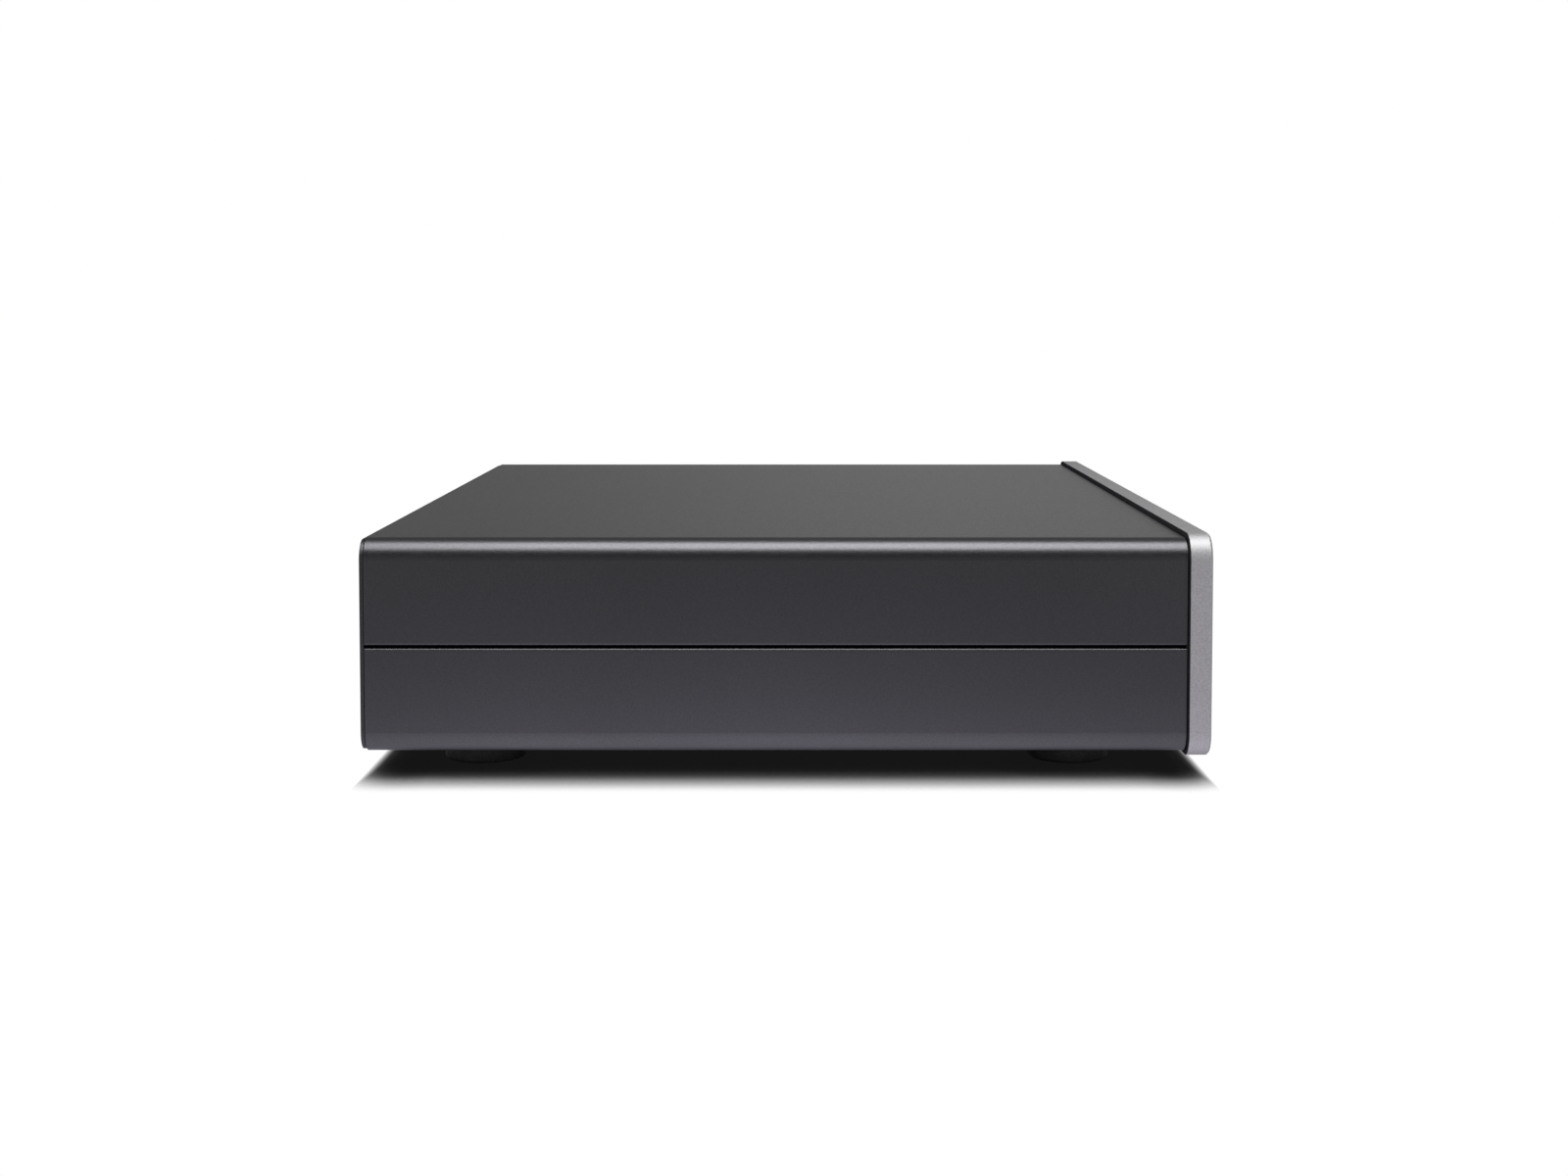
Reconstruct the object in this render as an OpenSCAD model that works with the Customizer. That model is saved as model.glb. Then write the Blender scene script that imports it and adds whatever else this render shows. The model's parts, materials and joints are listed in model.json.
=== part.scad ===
// Network music streamer: a half-width hi-fi component in a case of two extruded halves.
// Millimetres. X runs to the right as seen from the front, Y to the rear and Z up.
// The origin lies on the shelf, under the middle of the whole outline.

/* [Body] */
// Width of the front panel, the widest piece
panel_w = 215; // [206:1:240]
// Height of the front panel
panel_h = 48; // [46:1:60]
// Depth from the front face to the outer face of the rear panel
body_d = 181.4; // [176:0.2:220]
// Height of the lower edge of the front panel above the shelf
foot_clear = 4.7; // [3:0.1:8]
// Thickness of the front panel
panel_t = 4.85; // [4:0.05:6]
// Corner radius of the front panel
panel_corner_r = 5.5; // [4:0.25:7]
// How far the front panel stands proud of the case all round
panel_lip = 1; // [0.5:0.05:1.2]
// Chamfer along the front edge of the front panel
panel_edge = 0.4; // [0.2:0.05:0.6]
// Bevel round the rear edge of the front panel
panel_rear_edge = 0.15; // [0.1:0.05:0.4]
// Depth of the pocket in the back of the front panel
pocket_depth = 2; // [1.6:0.1:2.4]
// Width of the rim left around that pocket
pocket_rim = 1.5; // [1.2:0.1:2]
// Shadow gap between the front panel and the case
front_gap = 0.35; // [0.2:0.05:0.8]
// Chamfer around the button holes of the front panel
hole_edge = 0.25; // [0.1:0.05:0.4]
// Thickness of the ribs that locate the front frame in the case
frame_rib_t = 1.5; // [1:0.1:2.5]
// Depth of those ribs
frame_rib_d = 4; // [2:0.5:6]
// Clear space between those ribs and the screw ports
frame_rib_clear = 3; // [2:0.5:8]

/* [Case] */
// Wall thickness of both case halves
case_wall = 2; // [1.6:0.1:2.6]
// Open gap of the side seam between the halves
seam_gap = 0.6; // [0.3:0.05:1]
// Rounding of the outer edges along the seam
seam_edge_r = 0.5; // [0.2:0.05:0.8]
// Thickness of the tongue that stands behind the seam
tongue_t = 1.2; // [0.8:0.1:2]
// Height of the tongue above and below the middle of the seam
tongue_h = 4; // [2:0.5:8]
// Height of the ledge that rests on the tongue
ledge_h = 1.5; // [1:0.25:3]
// Outer radius of the four screw ports
port_r = 3; // [2.6:0.1:3.6]
// How far a screw port sinks into the wall beside it
port_bite = 0.5; // [0.3:0.1:0.8]
// Distance of the screw ports from the sides of the case
port_side = 12; // [11:0.5:13]
// Thickness of the rear panel
rear_panel_t = 0.8; // [0.6:0.1:1.5]
// How far the edge of the rear panel lies inside the case outline
rear_panel_inset = 0.35; // [0.2:0.05:0.6]
// Gap between the case and the rear panel
rear_gap = 0.2; // [0.1:0.05:0.3]

/* [Front controls] */
// Radius of the power button
power_button_r = 6; // [4:0.5:8]
// Radius of each preset button
preset_button_r = 3.5; // [2.5:0.25:5]
// Distance between neighbouring preset buttons
preset_pitch = 14; // [12:0.5:18]
// Distance of the outermost buttons from the ends of the front panel
control_inset = 22; // [20:1:28]
// How far a button stands out of the front panel
button_proud = 0.6; // [0.2:0.1:1.5]
// Rounding of the front edge of a button
button_edge_r = 0.4; // [0.2:0.05:0.6]
// Depth of the finger dish in a button
button_dish = 0.3; // [0.1:0.05:0.5]
// Width of the flat rim around that dish
button_rim = 0.2; // [0.1:0.05:0.5]
// Width of the flange that keeps a button in the panel
button_flange = 1.2; // [0.8:0.1:2]
// Thickness of that flange
button_flange_t = 1.2; // [0.8:0.1:1.4]
// Radius of the stem behind a button
button_stem_r = 2; // [1.5:0.1:2.5]
// Travel of every push button
button_travel = 0.5; // [0.3:0.05:0.8]
// Radial gap around every push button
button_gap = 0.3; // [0.2:0.05:0.5]
// Radius of the light guide beside the power button
light_guide_r = 1; // [0.6:0.1:1.5]
// Radius of the light guide behind the front panel
light_guide_body_r = 2; // [1.8:0.1:2.5]
// Clear distance from the power button to the light guide
light_guide_gap = 8; // [5:0.5:14]
// Side of a push switch body
switch_w = 6; // [5:0.5:8]
// Height of a push switch body
switch_h = 3.5; // [3:0.25:5]
// Radius of a switch plunger
plunger_r = 1.75; // [1.2:0.05:2]
// How far a plunger stands out of its switch
plunger_proud = 1; // [0.9:0.1:1.5]
// How deep a plunger sits in its switch
plunger_seat = 0.6; // [0.4:0.1:1]
// Height of the indicator light on the front board
led_h = 1; // [0.6:0.1:2]
// Side of the indicator light
led_w = 2.5; // [2:0.25:4]

/* [Rear sockets] */
// How far the longest sockets stand out of the rear panel
terminal_reach = 9; // [8:0.2:12]
// Clear space between neighbouring sockets
socket_gap = 6; // [4:0.5:7]
// Gap around every socket in its panel cut-out
cutout_gap = 0.25; // [0.15:0.05:0.5]
// How far the flat sockets stand out of the rear panel
socket_proud = 0.8; // [0.3:0.1:1.5]
// Distance of the right antenna jack from the inner side wall
antenna_inset = 14; // [11:0.5:18]
// Height of the antenna jacks below the top of the case
antenna_drop = 14; // [12:0.5:16]
// Thread radius of an antenna jack
antenna_r = 3.15; // [2.8:0.05:3.5]
// Width across the flats of an antenna nut
antenna_nut_af = 8; // [7.5:0.5:10]
// Thickness of an antenna nut
antenna_nut_t = 2.2; // [1.6:0.1:3]
// Bore radius of an antenna jack
antenna_bore_r = 2.2; // [1.8:0.05:2.4]
// Bore depth of an antenna jack
antenna_bore_d = 5; // [4:0.25:6]
// How far the insulator lies inside the tip of an antenna jack
antenna_core_recess = 1.8; // [1:0.1:2.5]
// Radius of the contact hole in the insulator
antenna_core_hole_r = 0.6; // [0.4:0.05:0.8]
// Step from the thread down to the neck under the nut
antenna_neck_step = 0.3; // [0.25:0.05:0.4]
// Width of the flange behind the rear panel
antenna_flange_w = 1.4; // [1:0.1:2]
// Thickness of that flange
antenna_flange_t = 2.5; // [1.5:0.25:4]
// Length of an antenna jack behind the rear panel
antenna_tail_l = 8; // [6:0.5:12]
// Wall of the crimp on that tail
antenna_tail_w = 0.9; // [0.5:0.1:1.5]
// Barrel radius of a phono socket
phono_r = 4.15; // [4:0.05:4.3]
// Wall thickness of the phono barrel
phono_wall = 0.75; // [0.5:0.05:0.9]
// Radius of the coloured collar around the barrel
phono_collar_r = 5.2; // [4.8:0.1:5.8]
// How far the collar stands out of the rear panel
phono_collar_proud = 1.6; // [1:0.1:2.5]
// Radius of the contact hole in a phono socket
phono_pin_r = 1.65; // [1.6:0.05:1.8]
// Distance between the two line-out sockets
phono_pitch = 14; // [13:0.5:18]
// Width of the block behind one phono socket
phono_block_w = 12; // [11.6:0.2:13]
// Depth of the phono blocks
phono_block_d = 13; // [10:0.5:18]
// Height of the phono axis above the board
phono_axis_h = 7.5; // [6.5:0.25:9]
// Gap between the phono blocks and the rear panel
phono_block_gap = 0.3; // [0.2:0.05:0.6]
// Thickness of the disc at the base of a phono insert
phono_disc_t = 1; // [0.8:0.1:1.4]
// Step from the barrel down to the neck inside the collar
phono_neck_step = 0.3; // [0.25:0.05:0.35]
// How far the insert lies inside the tip of the barrel
phono_recess = 0.8; // [0.4:0.1:1.5]
// Width of the optical socket
optical_w = 10; // [9.8:0.1:12]
// Height of the optical socket
optical_h = 10.4; // [10:0.1:13]
// Depth of the optical socket
optical_d = 14; // [12.5:0.5:18]
// Wall thickness of the optical socket
optical_wall = 0.9; // [0.8:0.05:1.1]
// Thickness of the optical shutter
shutter_t = 0.8; // [0.6:0.05:1]
// Radius of the hinge barrel of the shutter
shutter_barrel_r = 0.6; // [0.55:0.05:0.7]
// Radius of the hinge pins of the shutter
shutter_pin_r = 0.4; // [0.3:0.05:0.45]
// Clearance of the shutter inside its socket
shutter_gap = 0.2; // [0.15:0.05:0.3]
// How far the hinge barrel lies behind the mouth of the socket
shutter_recess = 0.5; // [0.3:0.1:1]
// Length of a hinge pin
shutter_pin_l = 0.6; // [0.4:0.05:0.7]
// Extra depth of the holes for the hinge pins
shutter_pin_gap = 0.15; // [0.05:0.05:0.2]
// Thickness of the back wall of the optical socket
optical_back = 2; // [1.5:0.25:3]
// Radius of the light port in that wall
optical_port_r = 1.3; // [1:0.1:2]
// Depth of the light port
optical_port_d = 1.4; // [0.8:0.1:1.4]
// Width of the USB socket
usb_w = 13.4; // [13:0.1:14.5]
// Height of the USB socket
usb_h = 6; // [5.8:0.1:7]
// Depth of the USB socket
usb_d = 15; // [14:0.5:19]
// Sheet thickness of the USB shell
usb_wall = 0.4; // [0.3:0.05:0.5]
// Thickness of the USB contact tongue
usb_tongue_t = 1.8; // [1.6:0.1:2]
// Gap between the tongue and the shell above it
usb_tongue_drop = 0.6; // [0.4:0.1:0.8]
// Gap between the tongue and the shell on each side
usb_tongue_side = 0.75; // [0.5:0.05:1]
// How far the tongue lies inside the mouth
usb_tongue_recess = 1.5; // [0.5:0.25:3]
// Thickness of the block that carries the tongue
usb_back_d = 3; // [2:0.25:5]
// Width of the network socket
ethernet_w = 16.2; // [15.8:0.1:18]
// Height of the network socket
ethernet_h = 13.6; // [13:0.1:15]
// Depth of the network socket
ethernet_d = 20; // [18:0.5:25]
// Sheet thickness of the network socket shield
ethernet_wall = 0.35; // [0.3:0.05:0.5]
// Width of the plug opening
ethernet_open_w = 11.9; // [11.7:0.1:12.3]
// Height of the plug opening
ethernet_open_h = 7; // [6.8:0.1:7.4]
// Width of the latch notch
ethernet_latch_w = 6.2; // [6:0.1:7]
// Height of the latch notch
ethernet_latch_h = 2.4; // [2:0.1:3]
// Depth of the plug opening
ethernet_open_d = 13; // [12:0.5:15]
// How far the insert lies inside the shield
ethernet_recess = 0.3; // [0.1:0.05:0.6]
// Radius of the setup button
setup_button_r = 1.7; // [1.4:0.1:2.2]
// Height of the setup button above the board
setup_axis_h = 4.5; // [4:0.25:6]
// How far the setup button stands out when it is pressed
setup_proud = 0.2; // [0.1:0.1:1]
// Width of the shoulder that keeps the setup button behind the panel
setup_shoulder_w = 0.8; // [0.5:0.1:1.2]
// Thickness of that shoulder
setup_shoulder_t = 1; // [0.6:0.1:1.5]
// Length of the stem between the shoulder and the switch
setup_stem_l = 2; // [1.5:0.25:3]
// Radius of that stem
setup_stem_r = 1.35; // [1:0.05:1.4]
// Width of the mains inlet
inlet_w = 22; // [21:0.5:26]
// Height of the mains inlet
inlet_h = 14; // [12:0.5:17]
// Corner radius of the mains inlet
inlet_corner_r = 1.5; // [0.5:0.25:3]
// Depth of the mains inlet
inlet_d = 19; // [17:0.5:24]
// Radius of the rounded ends of the plug recess
inlet_recess_r = 4.25; // [4.1:0.05:4.5]
// Depth of the plug recess
inlet_recess_d = 11; // [10:0.5:13]
// Distance between the two contact pins
inlet_pin_pitch = 8.6; // [8.4:0.1:8.8]
// Radius of a contact pin
inlet_pin_r = 1.18; // [1.1:0.02:1.25]
// Length of a contact pin
inlet_pin_l = 9; // [8:0.25:10]

/* [Boards] */
// Thickness of every circuit board
pcb_t = 1.6; // [1.2:0.2:2]
// Height of the standoffs under the boards
standoff_h = 8; // [7:0.5:10]
// Width across the flats of a standoff
standoff_af = 5; // [4.5:0.5:6]
// Gap between a board and the side wall beside it
board_side_gap = 3; // [2:0.5:5]
// Gap between the main board and the power board
board_gap = 4; // [2:0.5:8]
// Gap between the boards and the rear panel
board_rear_gap = 0.7; // [0.4:0.1:1.2]
// Depth of the main board
main_board_d = 110; // [100:1:120]
// Width of the power board
power_board_w = 48; // [44:1:52]
// Depth of the power board
power_board_d = 138; // [130:1:144]
// Height of the front board
front_board_h = 24; // [22:1:28]
// Distance of the front board behind the front frame
front_board_gap = 8; // [7.5:0.25:12]
// Distance of the front board from the side walls
front_board_side = 6; // [5:0.5:10]
// Radius of the posts that carry the front board
post_r = 3; // [2.6:0.1:3.5]
// Distance of the posts from the edges of the front board
post_margin = 1; // [0.5:0.25:1.5]
// Depth of solid material at the root of a post
post_root = 1; // [0.5:0.25:2]
// Distance of the board screws from the front edges of the boards
board_screw_inset = 5; // [4:0.5:7]
// Distance of the board screws from the side edges of the boards
board_screw_side = 14; // [13:0.5:16]
// Distance of the rear board screws from the rear edges of the boards
board_screw_rear = 40; // [36:1:44]
// Radius of a filter capacitor
capacitor_r = 4; // [3:0.5:5]
// Height of a filter capacitor
capacitor_h = 12; // [8:1:16]
// Distance between neighbouring filter capacitors
capacitor_pitch = 15; // [12:0.5:16]
// Distance of the first filter capacitor from the right edge of the main board
capacitor_side = 70; // [66:1:74]
// Distance of the filter capacitors from the front edge of the main board
capacitor_front = 44; // [38:1:48]
// Sides of the four chips
chip_w = [12, 8, 7, 10]; // [5:0.5:13]
// Height of the chips
chip_h = 1.4; // [1:0.2:2.4]
// Distance between neighbouring chips
chip_pitch = 16; // [14:0.5:17]
// Distance of the first chip from the right edge of the main board
chip_side = 78; // [74:1:80]
// Distance of the chips from the front edge of the main board
chip_front = 14; // [12:1:20]
// Width of the radio module
net_w = 44; // [42:1:50]
// Depth of the radio module
net_d = 34; // [30:1:38]
// Board thickness of the radio module
net_t = 1.2; // [0.8:0.2:1.6]
// Height of the header under the radio module
net_lift = 4; // [3:0.5:6]
// Distance of the radio module from the left edge of the main board
net_side = 3; // [2:0.5:3]
// Distance of the radio module from the rear edge of the main board
net_rear = 34; // [30:1:36]
// Height of the shield on the radio module
net_shield_h = 3; // [2:0.5:5]
// Distance of that shield from the left edge of the radio module
net_shield_side = 12; // [12:0.5:14]
// Width of that shield
net_shield_w = 28; // [20:1:28]
// Depth of that shield
net_shield_d = 16; // [12:1:16]
// Margin of shield and header from the front edge of the radio module
net_margin = 3; // [2:0.5:4]
// Radius of the antenna plugs on the radio module
net_plug_r = 1.3; // [1:0.1:1.5]
// Height of the antenna plugs
net_plug_h = 1.5; // [1:0.25:2.5]
// Distance between the two antenna plugs
net_plug_pitch = 7; // [6:0.5:8]
// Distance of the first antenna plug from the rear edge of the radio module
net_plug_rear = 5; // [3:0.5:6]
// Bend radius of the antenna leads
lead_bend = 6; // [4:0.5:8]
// Depth of a cable header
header_d = 5; // [4:0.5:7]
// Height of a cable header
header_h = 6; // [5:0.5:8]
// Extra width of a ribbon header beyond its cable
header_side = 2; // [1:0.5:3]
// Distance of the cable headers from the board edges beside them
header_edge = 3.5; // [2:0.5:4]
// Distance of the ribbon cable to the right of the middle
ribbon_x = 21.5; // [10:0.5:30]
// Distance of the ribbon header from the front edge of the main board
ribbon_edge = 1; // [0.5:0.5:3]
// Number of wires in the power harness
wire_count = 4; // [2:1:6]
// Distance between neighbouring wires of the power harness
wire_pitch = 2.5; // [2:0.25:3]
// Distance of the power harness from the front edge of the main board
harness_front = 24; // [18:1:28]
// Width of the transformer core
core_w = 28; // [26:1:32]
// Depth of the transformer core
core_d = 14; // [12:1:18]
// Height of the transformer core
core_h = 24; // [20:1:28]
// Width of a winding window in the core
window_w = 6; // [5:0.5:7]
// Height of a winding window in the core
window_h = 12; // [10:1:14]
// How far the winding stands out of the core on each side
winding_proud = 4; // [3:0.5:6]
// Distance of the transformer core from the front edge of the power board
core_front = 42; // [38:1:46]
// Radius of the bulk capacitor
bulk_r = 9; // [7:0.5:10]
// Height of the bulk capacitor
bulk_h = 25; // [20:1:28]
// Depth of the bead rolled into the bulk capacitor
bulk_bead = 0.8; // [0.4:0.1:1.2]
// Height of that bead above the power board
bulk_bead_z = 4; // [3:0.5:6]
// Distance of the bulk capacitor from the rear edge of the power board
bulk_rear = 58; // [56:1:60]
// Ring radius of the mains choke
choke_r = 6; // [5:0.5:6.5]
// Winding radius of the mains choke
choke_wire_r = 3; // [2.5:0.25:3.5]
// Distance of the mains choke from the rear edge of the power board
choke_rear = 27; // [26:0.5:28]
// Length of the heatsink
heatsink_l = 38; // [34:1:40]
// Height of the heatsink
heatsink_h = 26; // [20:1:30]
// Depth of the heatsink over its fins
heatsink_d = 12; // [8:1:16]
// Thickness of the heatsink web
heatsink_web = 3; // [2:0.5:4]
// Thickness of a heatsink fin
fin_t = 1.5; // [1:0.25:2]
// Gap between neighbouring fins
fin_gap = 4; // [3:0.5:5]
// Distance of the heatsink from the side edge of the power board
heatsink_side = 4; // [3:0.5:6]
// Distance of the heatsink from the front edge of the power board
heatsink_front = 14; // [12:1:16]
// Width of the ribbon cable
ribbon_w = 16; // [10:1:24]
// Thickness of the ribbon cable
ribbon_t = 0.3; // [0.2:0.05:0.6]
// Radius of a wire in the power harness
wire_r = 0.8; // [0.5:0.1:1]
// Radius of an antenna lead
lead_r = 0.65; // [0.5:0.05:0.9]

/* [Fasteners and feet] */
// Shank radius of the screws
screw_r = 1.2; // [1:0.05:1.25]
// Head radius of the screws
screw_head_r = 2.7; // [2.3:0.1:2.9]
// Head height of the screws
screw_head_h = 1.6; // [1.3:0.1:1.9]
// Depth of the hex drive in a screw head
drive_d = 0.9; // [0.6:0.1:1.1]
// Corner radius of the hex drive
drive_r = 1.1; // [0.8:0.05:1.15]
// Length of the screws that enter the screw ports
case_screw_l = 9; // [6:0.5:12]
// Gap between the ends of the two screws in a standoff
screw_end_gap = 1; // [0.5:0.25:2]
// How far a foot screw stands out above the floor of the case
foot_screw_tail = 1; // [0.5:0.25:3]
// Radius of a foot
foot_r = 9; // [7:0.5:12]
// Distance of the feet from the case sides
foot_inset = 25; // [22:1:35]
// Distance of the feet from the front and rear of the case
foot_inset_y = 22; // [18:1:28]
// Rounding of the lower edge of a foot
foot_edge_r = 0.8; // [0.3:0.1:1.5]
// Depth of the screw recess in a foot
foot_recess_h = 2.4; // [2.2:0.1:2.8]
// Gap around the screw head in that recess
foot_recess_gap = 0.6; // [0.3:0.1:1.5]
// Radius of the welded studs on the front panel
stud_r = 1.4; // [1.2:0.05:1.6]
// Distance of the stud columns from the middle of the front panel
stud_x = 53.75; // [36:0.25:60]
// Distance of the stud rows from the middle of the front panel
stud_dz = 14; // [11:0.5:15]
// How far a stud stands out of its nut
stud_tail = 0.6; // [0.2:0.1:2]
// Width across the flats of the stud nuts
stud_nut_af = 5.5; // [5:0.25:7]
// Thickness of the stud nuts
stud_nut_t = 2.4; // [1.8:0.1:3]
// Clearance between pieces that slide into each other on assembly
slide_gap = 0.2; // [0.15:0.05:0.3]
// Radial clearance of a screw in its tapped hole and of close round fits
bore_gap = 0.05; // [0.03:0.01:0.1]
// Radial clearance of a screw in a plain hole
hole_gap = 0.4; // [0.2:0.05:0.5]
// Gap between a button flange and the panel in front of it at rest
rest_gap = 0.1; // [0.05:0.05:0.2]

/* [Hidden] */
$fn = 64;
// Overlap that keeps cuts clean
eps = 0.01;

overall_d = button_proud + body_d + terminal_reach;
front_y = button_proud - overall_d / 2;
rear_y = front_y + body_d;
tip_y = rear_y + terminal_reach;
pocket_y = front_y + panel_t - pocket_depth;
panel_back_y = front_y + panel_t;
case_front_y = panel_back_y + front_gap;
rear_in_y = rear_y - rear_panel_t;
case_rear_y = rear_in_y - rear_gap;
face_y = rear_y + socket_proud;

case_w = panel_w - 2 * panel_lip;
case_h = panel_h - 2 * panel_lip;
case_r = panel_corner_r - panel_lip;
mid_z = foot_clear + panel_h / 2;
case_bottom_z = foot_clear + panel_lip;
case_top_z = case_bottom_z + case_h;
floor_z = case_bottom_z + case_wall;
wall_x = case_w / 2 - case_wall;
port_x = case_w / 2 - port_side;
port_dz = case_h / 2 - case_wall - port_r + port_bite;
tapped_r = screw_r + bore_gap;
plain_r = screw_r + hole_gap;

// Front controls, from left to right
power_x = -panel_w / 2 + control_inset;
light_x = power_x + power_button_r + light_guide_gap;
preset_x = [for (k = [0:3]) panel_w / 2 - control_inset - (3 - k) * preset_pitch];
button_x = concat([power_x], preset_x);
button_r = [power_button_r, for (k = [0:3]) preset_button_r];
flange_y = pocket_y + rest_gap;
front_board_y = case_front_y + front_board_gap;
switch_y = front_board_y - switch_h;
stem_end_y = switch_y - plunger_proud;
front_board_w = 2 * (wall_x - front_board_side);
post_x = front_board_w / 2 - post_r - post_margin;
post_dz = front_board_h / 2 - post_r - post_margin;
stud_end_y = case_front_y + stud_nut_t + stud_tail;
frame_rib_w = 2 * (port_x - port_r - frame_rib_clear);
frame_rib_z = case_h / 2 - case_wall - slide_gap - frame_rib_t / 2;

// Boards seen from above
board_z = floor_z + standoff_h;
board_top = board_z + pcb_t;
board_rear_y = rear_in_y - board_rear_gap;
power_x0 = -wall_x + board_side_gap;
power_x1 = power_x0 + power_board_w;
main_x0 = power_x1 + board_gap;
main_x1 = wall_x - board_side_gap;
main_y0 = board_rear_y - main_board_d;
power_y0 = board_rear_y - power_board_d;
main_screws = [
    for (x = [main_x0 + board_screw_side, main_x1 - board_screw_side])
    for (y = [main_y0 + board_screw_inset, board_rear_y - board_screw_rear])
    [x, y]
];
power_screws = [
    for (x = [power_x0 + board_screw_side, power_x1 - board_screw_side])
    for (y = [power_y0 + board_screw_inset, board_rear_y - board_screw_rear])
    [x, y]
];
standoff_at = concat(main_screws, power_screws);
foot_x = case_w / 2 - foot_inset;
foot_y = [case_front_y + foot_inset_y, case_rear_y - foot_inset_y];

// Rear sockets, placed one after the other from the right side
antenna_half = antenna_nut_af / sqrt(3);
antenna_z = case_top_z - antenna_drop;
antenna_right_x = wall_x - antenna_inset;
phono_half = phono_block_w / 2;
line_right_x = antenna_right_x - antenna_half - socket_gap - phono_half;
line_left_x = line_right_x - phono_pitch;
coaxial_x = line_left_x - 2 * phono_half - socket_gap;
optical_x = coaxial_x - phono_half - socket_gap - optical_w / 2;
usb_x = optical_x - optical_w / 2 - socket_gap - usb_w / 2;
ethernet_x = usb_x - usb_w / 2 - socket_gap - ethernet_w / 2;
setup_x = ethernet_x - ethernet_w / 2 - socket_gap - setup_button_r;
antenna_left_x = setup_x - setup_button_r - socket_gap - antenna_half;
antenna_x = [antenna_left_x, antenna_right_x];
phono_x = [line_left_x, line_right_x, coaxial_x];
phono_z = board_top + phono_axis_h;
setup_z = board_top + setup_axis_h;
inlet_x = (power_x0 + power_x1) / 2;
inlet_z = board_top + inlet_h / 2;

// Optical socket: cavity, and hinge axis near the top of its mouth
optical_cavity_w = optical_w - 2 * optical_wall;
optical_cavity_h = optical_h - 2 * optical_wall;
optical_cavity_z = board_top + optical_wall;
shutter_y = face_y - shutter_barrel_r - shutter_recess;
shutter_z = optical_cavity_z + optical_cavity_h - shutter_barrel_r - shutter_gap;

// Radio module, leads, cables and headers
net_x0 = main_x0 + net_side;
net_y1 = board_rear_y - net_rear;
net_y0 = net_y1 - net_d;
net_top = board_top + net_lift + net_t;
plug_top = net_top + net_plug_h;
lead_y = [net_y1 - net_plug_rear, net_y1 - net_plug_rear - net_plug_pitch];
lead_x = [antenna_left_x, antenna_left_x + net_plug_pitch];
antenna_tail_y = rear_in_y - antenna_tail_l;
lead_drop_z = antenna_z - lead_bend;
ribbon_z0 = mid_z;
ribbon_z1 = board_top + header_h / 2;
ribbon_y0 = front_board_y + pcb_t + header_d;
ribbon_y1 = main_y0 + ribbon_edge;
harness_x = [power_x1 - header_edge - header_d / 2, main_x0 + header_edge + header_d / 2];
harness_y = main_y0 + harness_front;

// Rear sockets along Y
setup_shoulder_y = rear_in_y - rest_gap - setup_shoulder_t;
setup_switch_y = setup_shoulder_y - setup_stem_l;
phono_face_y = rear_in_y - phono_block_gap;
phono_collar_y = rear_y + phono_collar_proud;
phono_neck_r = phono_r - phono_neck_step;
antenna_neck_r = antenna_r - antenna_neck_step;
optical_cavity_d = optical_d - optical_back;
shutter_pin_span = optical_cavity_w + 2 * shutter_pin_l;
usb_back_y = face_y - usb_d + usb_wall;
usb_tongue_z = board_top + usb_h - usb_wall - usb_tongue_drop - usb_tongue_t;
ethernet_back_y = face_y - ethernet_d + ethernet_wall;
ethernet_open_z = board_top + (ethernet_h - ethernet_open_h - ethernet_latch_h) / 2;

// Shared shapes

// Extrudes a flat shape, drawn in X and Z, from y0 to y1
module along_y(y0, y1) {
    translate([0, y1, 0]) rotate([90, 0, 0]) linear_extrude(y1 - y0) children();
}

// Round rod along Y
module rod_y(x, z, y0, y1, r) {
    translate([x, y0, z]) rotate([-90, 0, 0]) cylinder(r = r, h = y1 - y0);
}

// Body of revolution about an axis along Y, drawn as radius against Y
module turned_y(x, z) {
    translate([x, 0, z]) rotate([-90, 0, 0]) rotate_extrude() children();
}

// Ring in a turned profile
module turned_band(r0, r1, y0, y1) {
    translate([r0, y0]) square([r1 - r0, y1 - y0]);
}

// Box that is centred on x, starts at y and stands on z
module box_at(x, y, z, w, d, h) {
    translate([x - w / 2, y, z]) cube([w, d, h]);
}

// Rectangle with rounded corners, centred
module rounded_rect(w, h, r) {
    square([w - 2 * r, h], center = true);
    square([w, h - 2 * r], center = true);
    for (sx = [-1, 1], sz = [-1, 1])
        translate([sx * (w / 2 - r), sz * (h / 2 - r)]) circle(r);
}

// Rectangle with round ends, centred
module slot_shape(pitch, r) {
    square([pitch, 2 * r], center = true);
    for (s = [-1, 1]) translate([s * pitch / 2, 0]) circle(r);
}

// Layer that narrows by c on every side over the height c
module chamfer_layer(w, h, r, c) {
    for (sx = [-1, 1], sy = [-1, 1])
        translate([sx * (w / 2 - r), sy * (h / 2 - r), 0]) cylinder(r1 = r, r2 = r - c, h = c);
    translate([r - w / 2, 0, 0]) rotate([90, 0, 90]) linear_extrude(w - 2 * r)
        polygon([[-h / 2, 0], [h / 2, 0], [h / 2 - c, c], [c - h / 2, c]]);
    translate([0, h / 2 - r, 0]) rotate([90, 0, 0]) linear_extrude(h - 2 * r)
        polygon([[-w / 2, 0], [w / 2, 0], [w / 2 - c, c], [c - w / 2, c]]);
}

// Pan-head screw that points along +Z, with a hex drive, its head below z = 0
module pan_screw(l) {
    difference() {
        union() {
            cylinder(r = screw_r, h = l);
            translate([0, 0, -screw_head_h]) cylinder(r = screw_head_r, h = screw_head_h);
        }
        translate([0, 0, -screw_head_h - eps]) cylinder(r = drive_r, h = drive_d + eps, $fn = 6);
    }
}

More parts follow.
